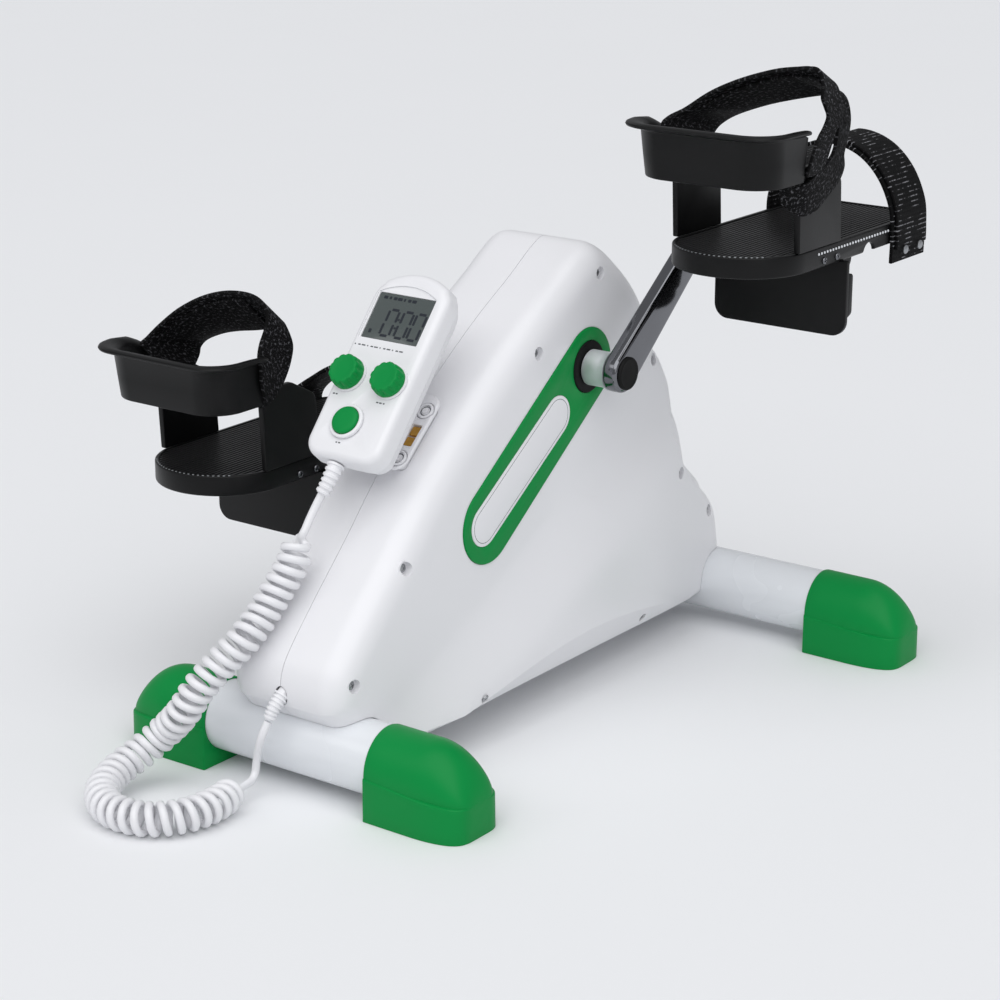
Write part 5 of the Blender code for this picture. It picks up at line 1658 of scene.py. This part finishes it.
# Cradle
class EXERCISER_OT_cradle(bpy.types.Operator):
    """Adds the cradle with its two plain round bosses and the brass contacts in their window"""
    bl_idname = "exerciser.cradle"
    bl_label = "Cradle"

    TOP = 10.0
    WINDOW = (17.5, -3.0)
    BOSSES = ((17.5, -22.5), (17.5, 17.5))

    def execute(self, context):
        half_x, half_y, corner, edge = 24.6, 31.0, 8.7, 1.2
        levels = [(-1, 5), (5.8, 5), (7.0, 0.5), (7.4, 0), (self.TOP - edge, 0)]
        levels += [(self.TOP - edge + edge * math.sin(lean), edge * (1 - math.cos(lean)))
                   for lean in np.radians(range(15, 91, 15))]
        rings = [[(a, b, z) for a, b in
                  rounded_box((0, 0), half_x - inward, half_y - inward, corner - inward, 12)]
                 for z, inward in levels]
        cradle = loft("cradle_skin", rings)
        cut(cradle, [self.dock()], "UNION")
        window = slab("window", rounded_box(self.WINDOW, 4.4, 9, 1, 5), self.TOP - 4, 20)
        cut(cradle, [window] + self.at_bosses("groove", [(-1.6, 6.9), (3, 6.9)]))
        soften(cradle, shell_rounding(), 2, 45)
        self.seat(cradle, "white", "cradle")
        profile = [(-1.62, 6.1), (0.5, 6.1), (0.9, 5.7), (0.9, 4.6), (-0.3, 4.3), (-0.3, 2.6), (0.8, 2.3),
                   (0.9, 1.6)]
        self.seat(join(self.at_bosses("cradle_bosses", profile)), "white")
        rings = self.at_bosses("boss_rings", [(-0.35, 4.0), (-0.22, 4.0)], 40)
        bores = self.at_bosses("bore", [(-1, 3.2), (1, 3.2)], 40)
        self.seat(join([cut(ring, [bore]) for ring, bore in zip(rings, bores)]), "print")
        x, y = self.WINDOW
        for number, offset in ((1, -4.4), (2, 4.4)):
            outline = rounded_box((x, y + offset), 3.8, 3.6, 0.8, 5)
            node = "contact_strip_%d" % number
            strip = slab(node + "_skin", outline, self.TOP - 3.7, self.TOP - 1.5, 0.5)
            self.seat(strip, "brass", node)
        return {"FINISHED"}

    @staticmethod
    def seat(obj, look, node=None):
        present(settle(obj, CRADLE_FRAME), look, "machine", node)

    @staticmethod
    def dock():
        """The block between cradle and handset, whose top follows the handset's back."""
        slope = math.tan(HANDSET_LEAN - CRADLE_LEAN)
        lift = CRADLE_FRAME.inverted() @ HANDSET_FRAME.translation
        block = [(-21, 7), (23, 7)] + [(a, lift.z - 0.5 + (a - lift.y) * slope) for a in (23, -21)]
        return turn(slab("dock", block, -12, 12), ALONG_X)

    def at_bosses(self, name, profile, count=48):
        """The same round shape on each plain boss, its heights counted from the cradle's top."""
        levels = [(self.TOP + height, radius) for height, radius in profile]
        return [turned(name, levels, count, spot) for spot in self.BOSSES]


# Strain reliefs of the cord
class EXERCISER_OT_reliefs(bpy.types.Operator):
    """Adds the ribbed strain reliefs at the handset and at the housing's nose"""
    bl_idname = "exerciser.reliefs"
    bl_label = "Strain reliefs"

    def execute(self, context):
        handset = swept("handset_cord_relief_skin", HANDSET_RELIEF_ROUTE, self.ribs(0, 6.2, 6, 3.8), 40)
        on_handset(handset, "cord", "handset_cord_relief", 30)
        stem = [(0, 4.2), (6.9, 4.2)]
        nose = swept("nose_cord_relief_skin", NOSE_RELIEF_ROUTE, stem + self.ribs(7, 5.5, 7, 2.7), 40)
        present(settle(nose), "cord", "machine", "nose_cord_relief", 30)
        return {"FINISHED"}

    @staticmethod
    def ribs(start, radius, count, pitch):
        """Rings with rounded edges, thinner away from the root."""
        profile = []
        for rib in range(count):
            outer = radius - rib * 1.4 / count
            profile += [(start + (rib + share) * pitch, outer - inward) for share, inward in (
                (0, 0.5), (0.08, 0), (0.5, 0), (0.58, 0.5), (0.62, 1.1), (0.96, 1.1))]
        return profile


STEPS = ("stage", "cord", "reliefs", "housing", "side_trim", "base", "crank", "footplates", "guards",
         "heel_cups", "straps", "handset", "display", "controls", "cradle")


class EXERCISER_PT_sidebar(bpy.types.Panel):
    """Lists the exerciser's colours, sizes and building steps"""
    bl_idname = "EXERCISER_PT_sidebar"
    bl_label = "Electric pedal exerciser"
    bl_space_type = "VIEW_3D"
    bl_region_type = "UI"
    bl_category = "Exerciser"

    def draw(self, context):
        for group in (context.scene.exerciser_colours, context.scene.exerciser_sizes):
            column = self.layout.column()
            for name in group.__annotations__:
                column.prop(group, name)
        column = self.layout.column(align=True)
        for step in STEPS:
            column.operator("exerciser." + step)


CLASSES = (
    ExerciserColours, ExerciserSizes, EXERCISER_OT_stage, EXERCISER_OT_cord, EXERCISER_OT_reliefs,
    EXERCISER_OT_housing, EXERCISER_OT_side_trim, EXERCISER_OT_base, EXERCISER_OT_crank,
    EXERCISER_OT_footplates, EXERCISER_OT_guards, EXERCISER_OT_heel_cups, EXERCISER_OT_straps,
    EXERCISER_OT_handset, EXERCISER_OT_display, EXERCISER_OT_controls, EXERCISER_OT_cradle,
    EXERCISER_PT_sidebar,
)


def register():
    for kind in CLASSES:
        bpy.utils.register_class(kind)
    bpy.types.Scene.exerciser_colours = bpy.props.PointerProperty(type=ExerciserColours)
    bpy.types.Scene.exerciser_sizes = bpy.props.PointerProperty(type=ExerciserSizes)


def unregister():
    del bpy.types.Scene.exerciser_sizes
    del bpy.types.Scene.exerciser_colours
    for kind in reversed(CLASSES):
        bpy.utils.unregister_class(kind)


def main():
    register()
    for step in STEPS:
        getattr(bpy.ops.exerciser, step)()


if __name__ == "__main__":
    main()
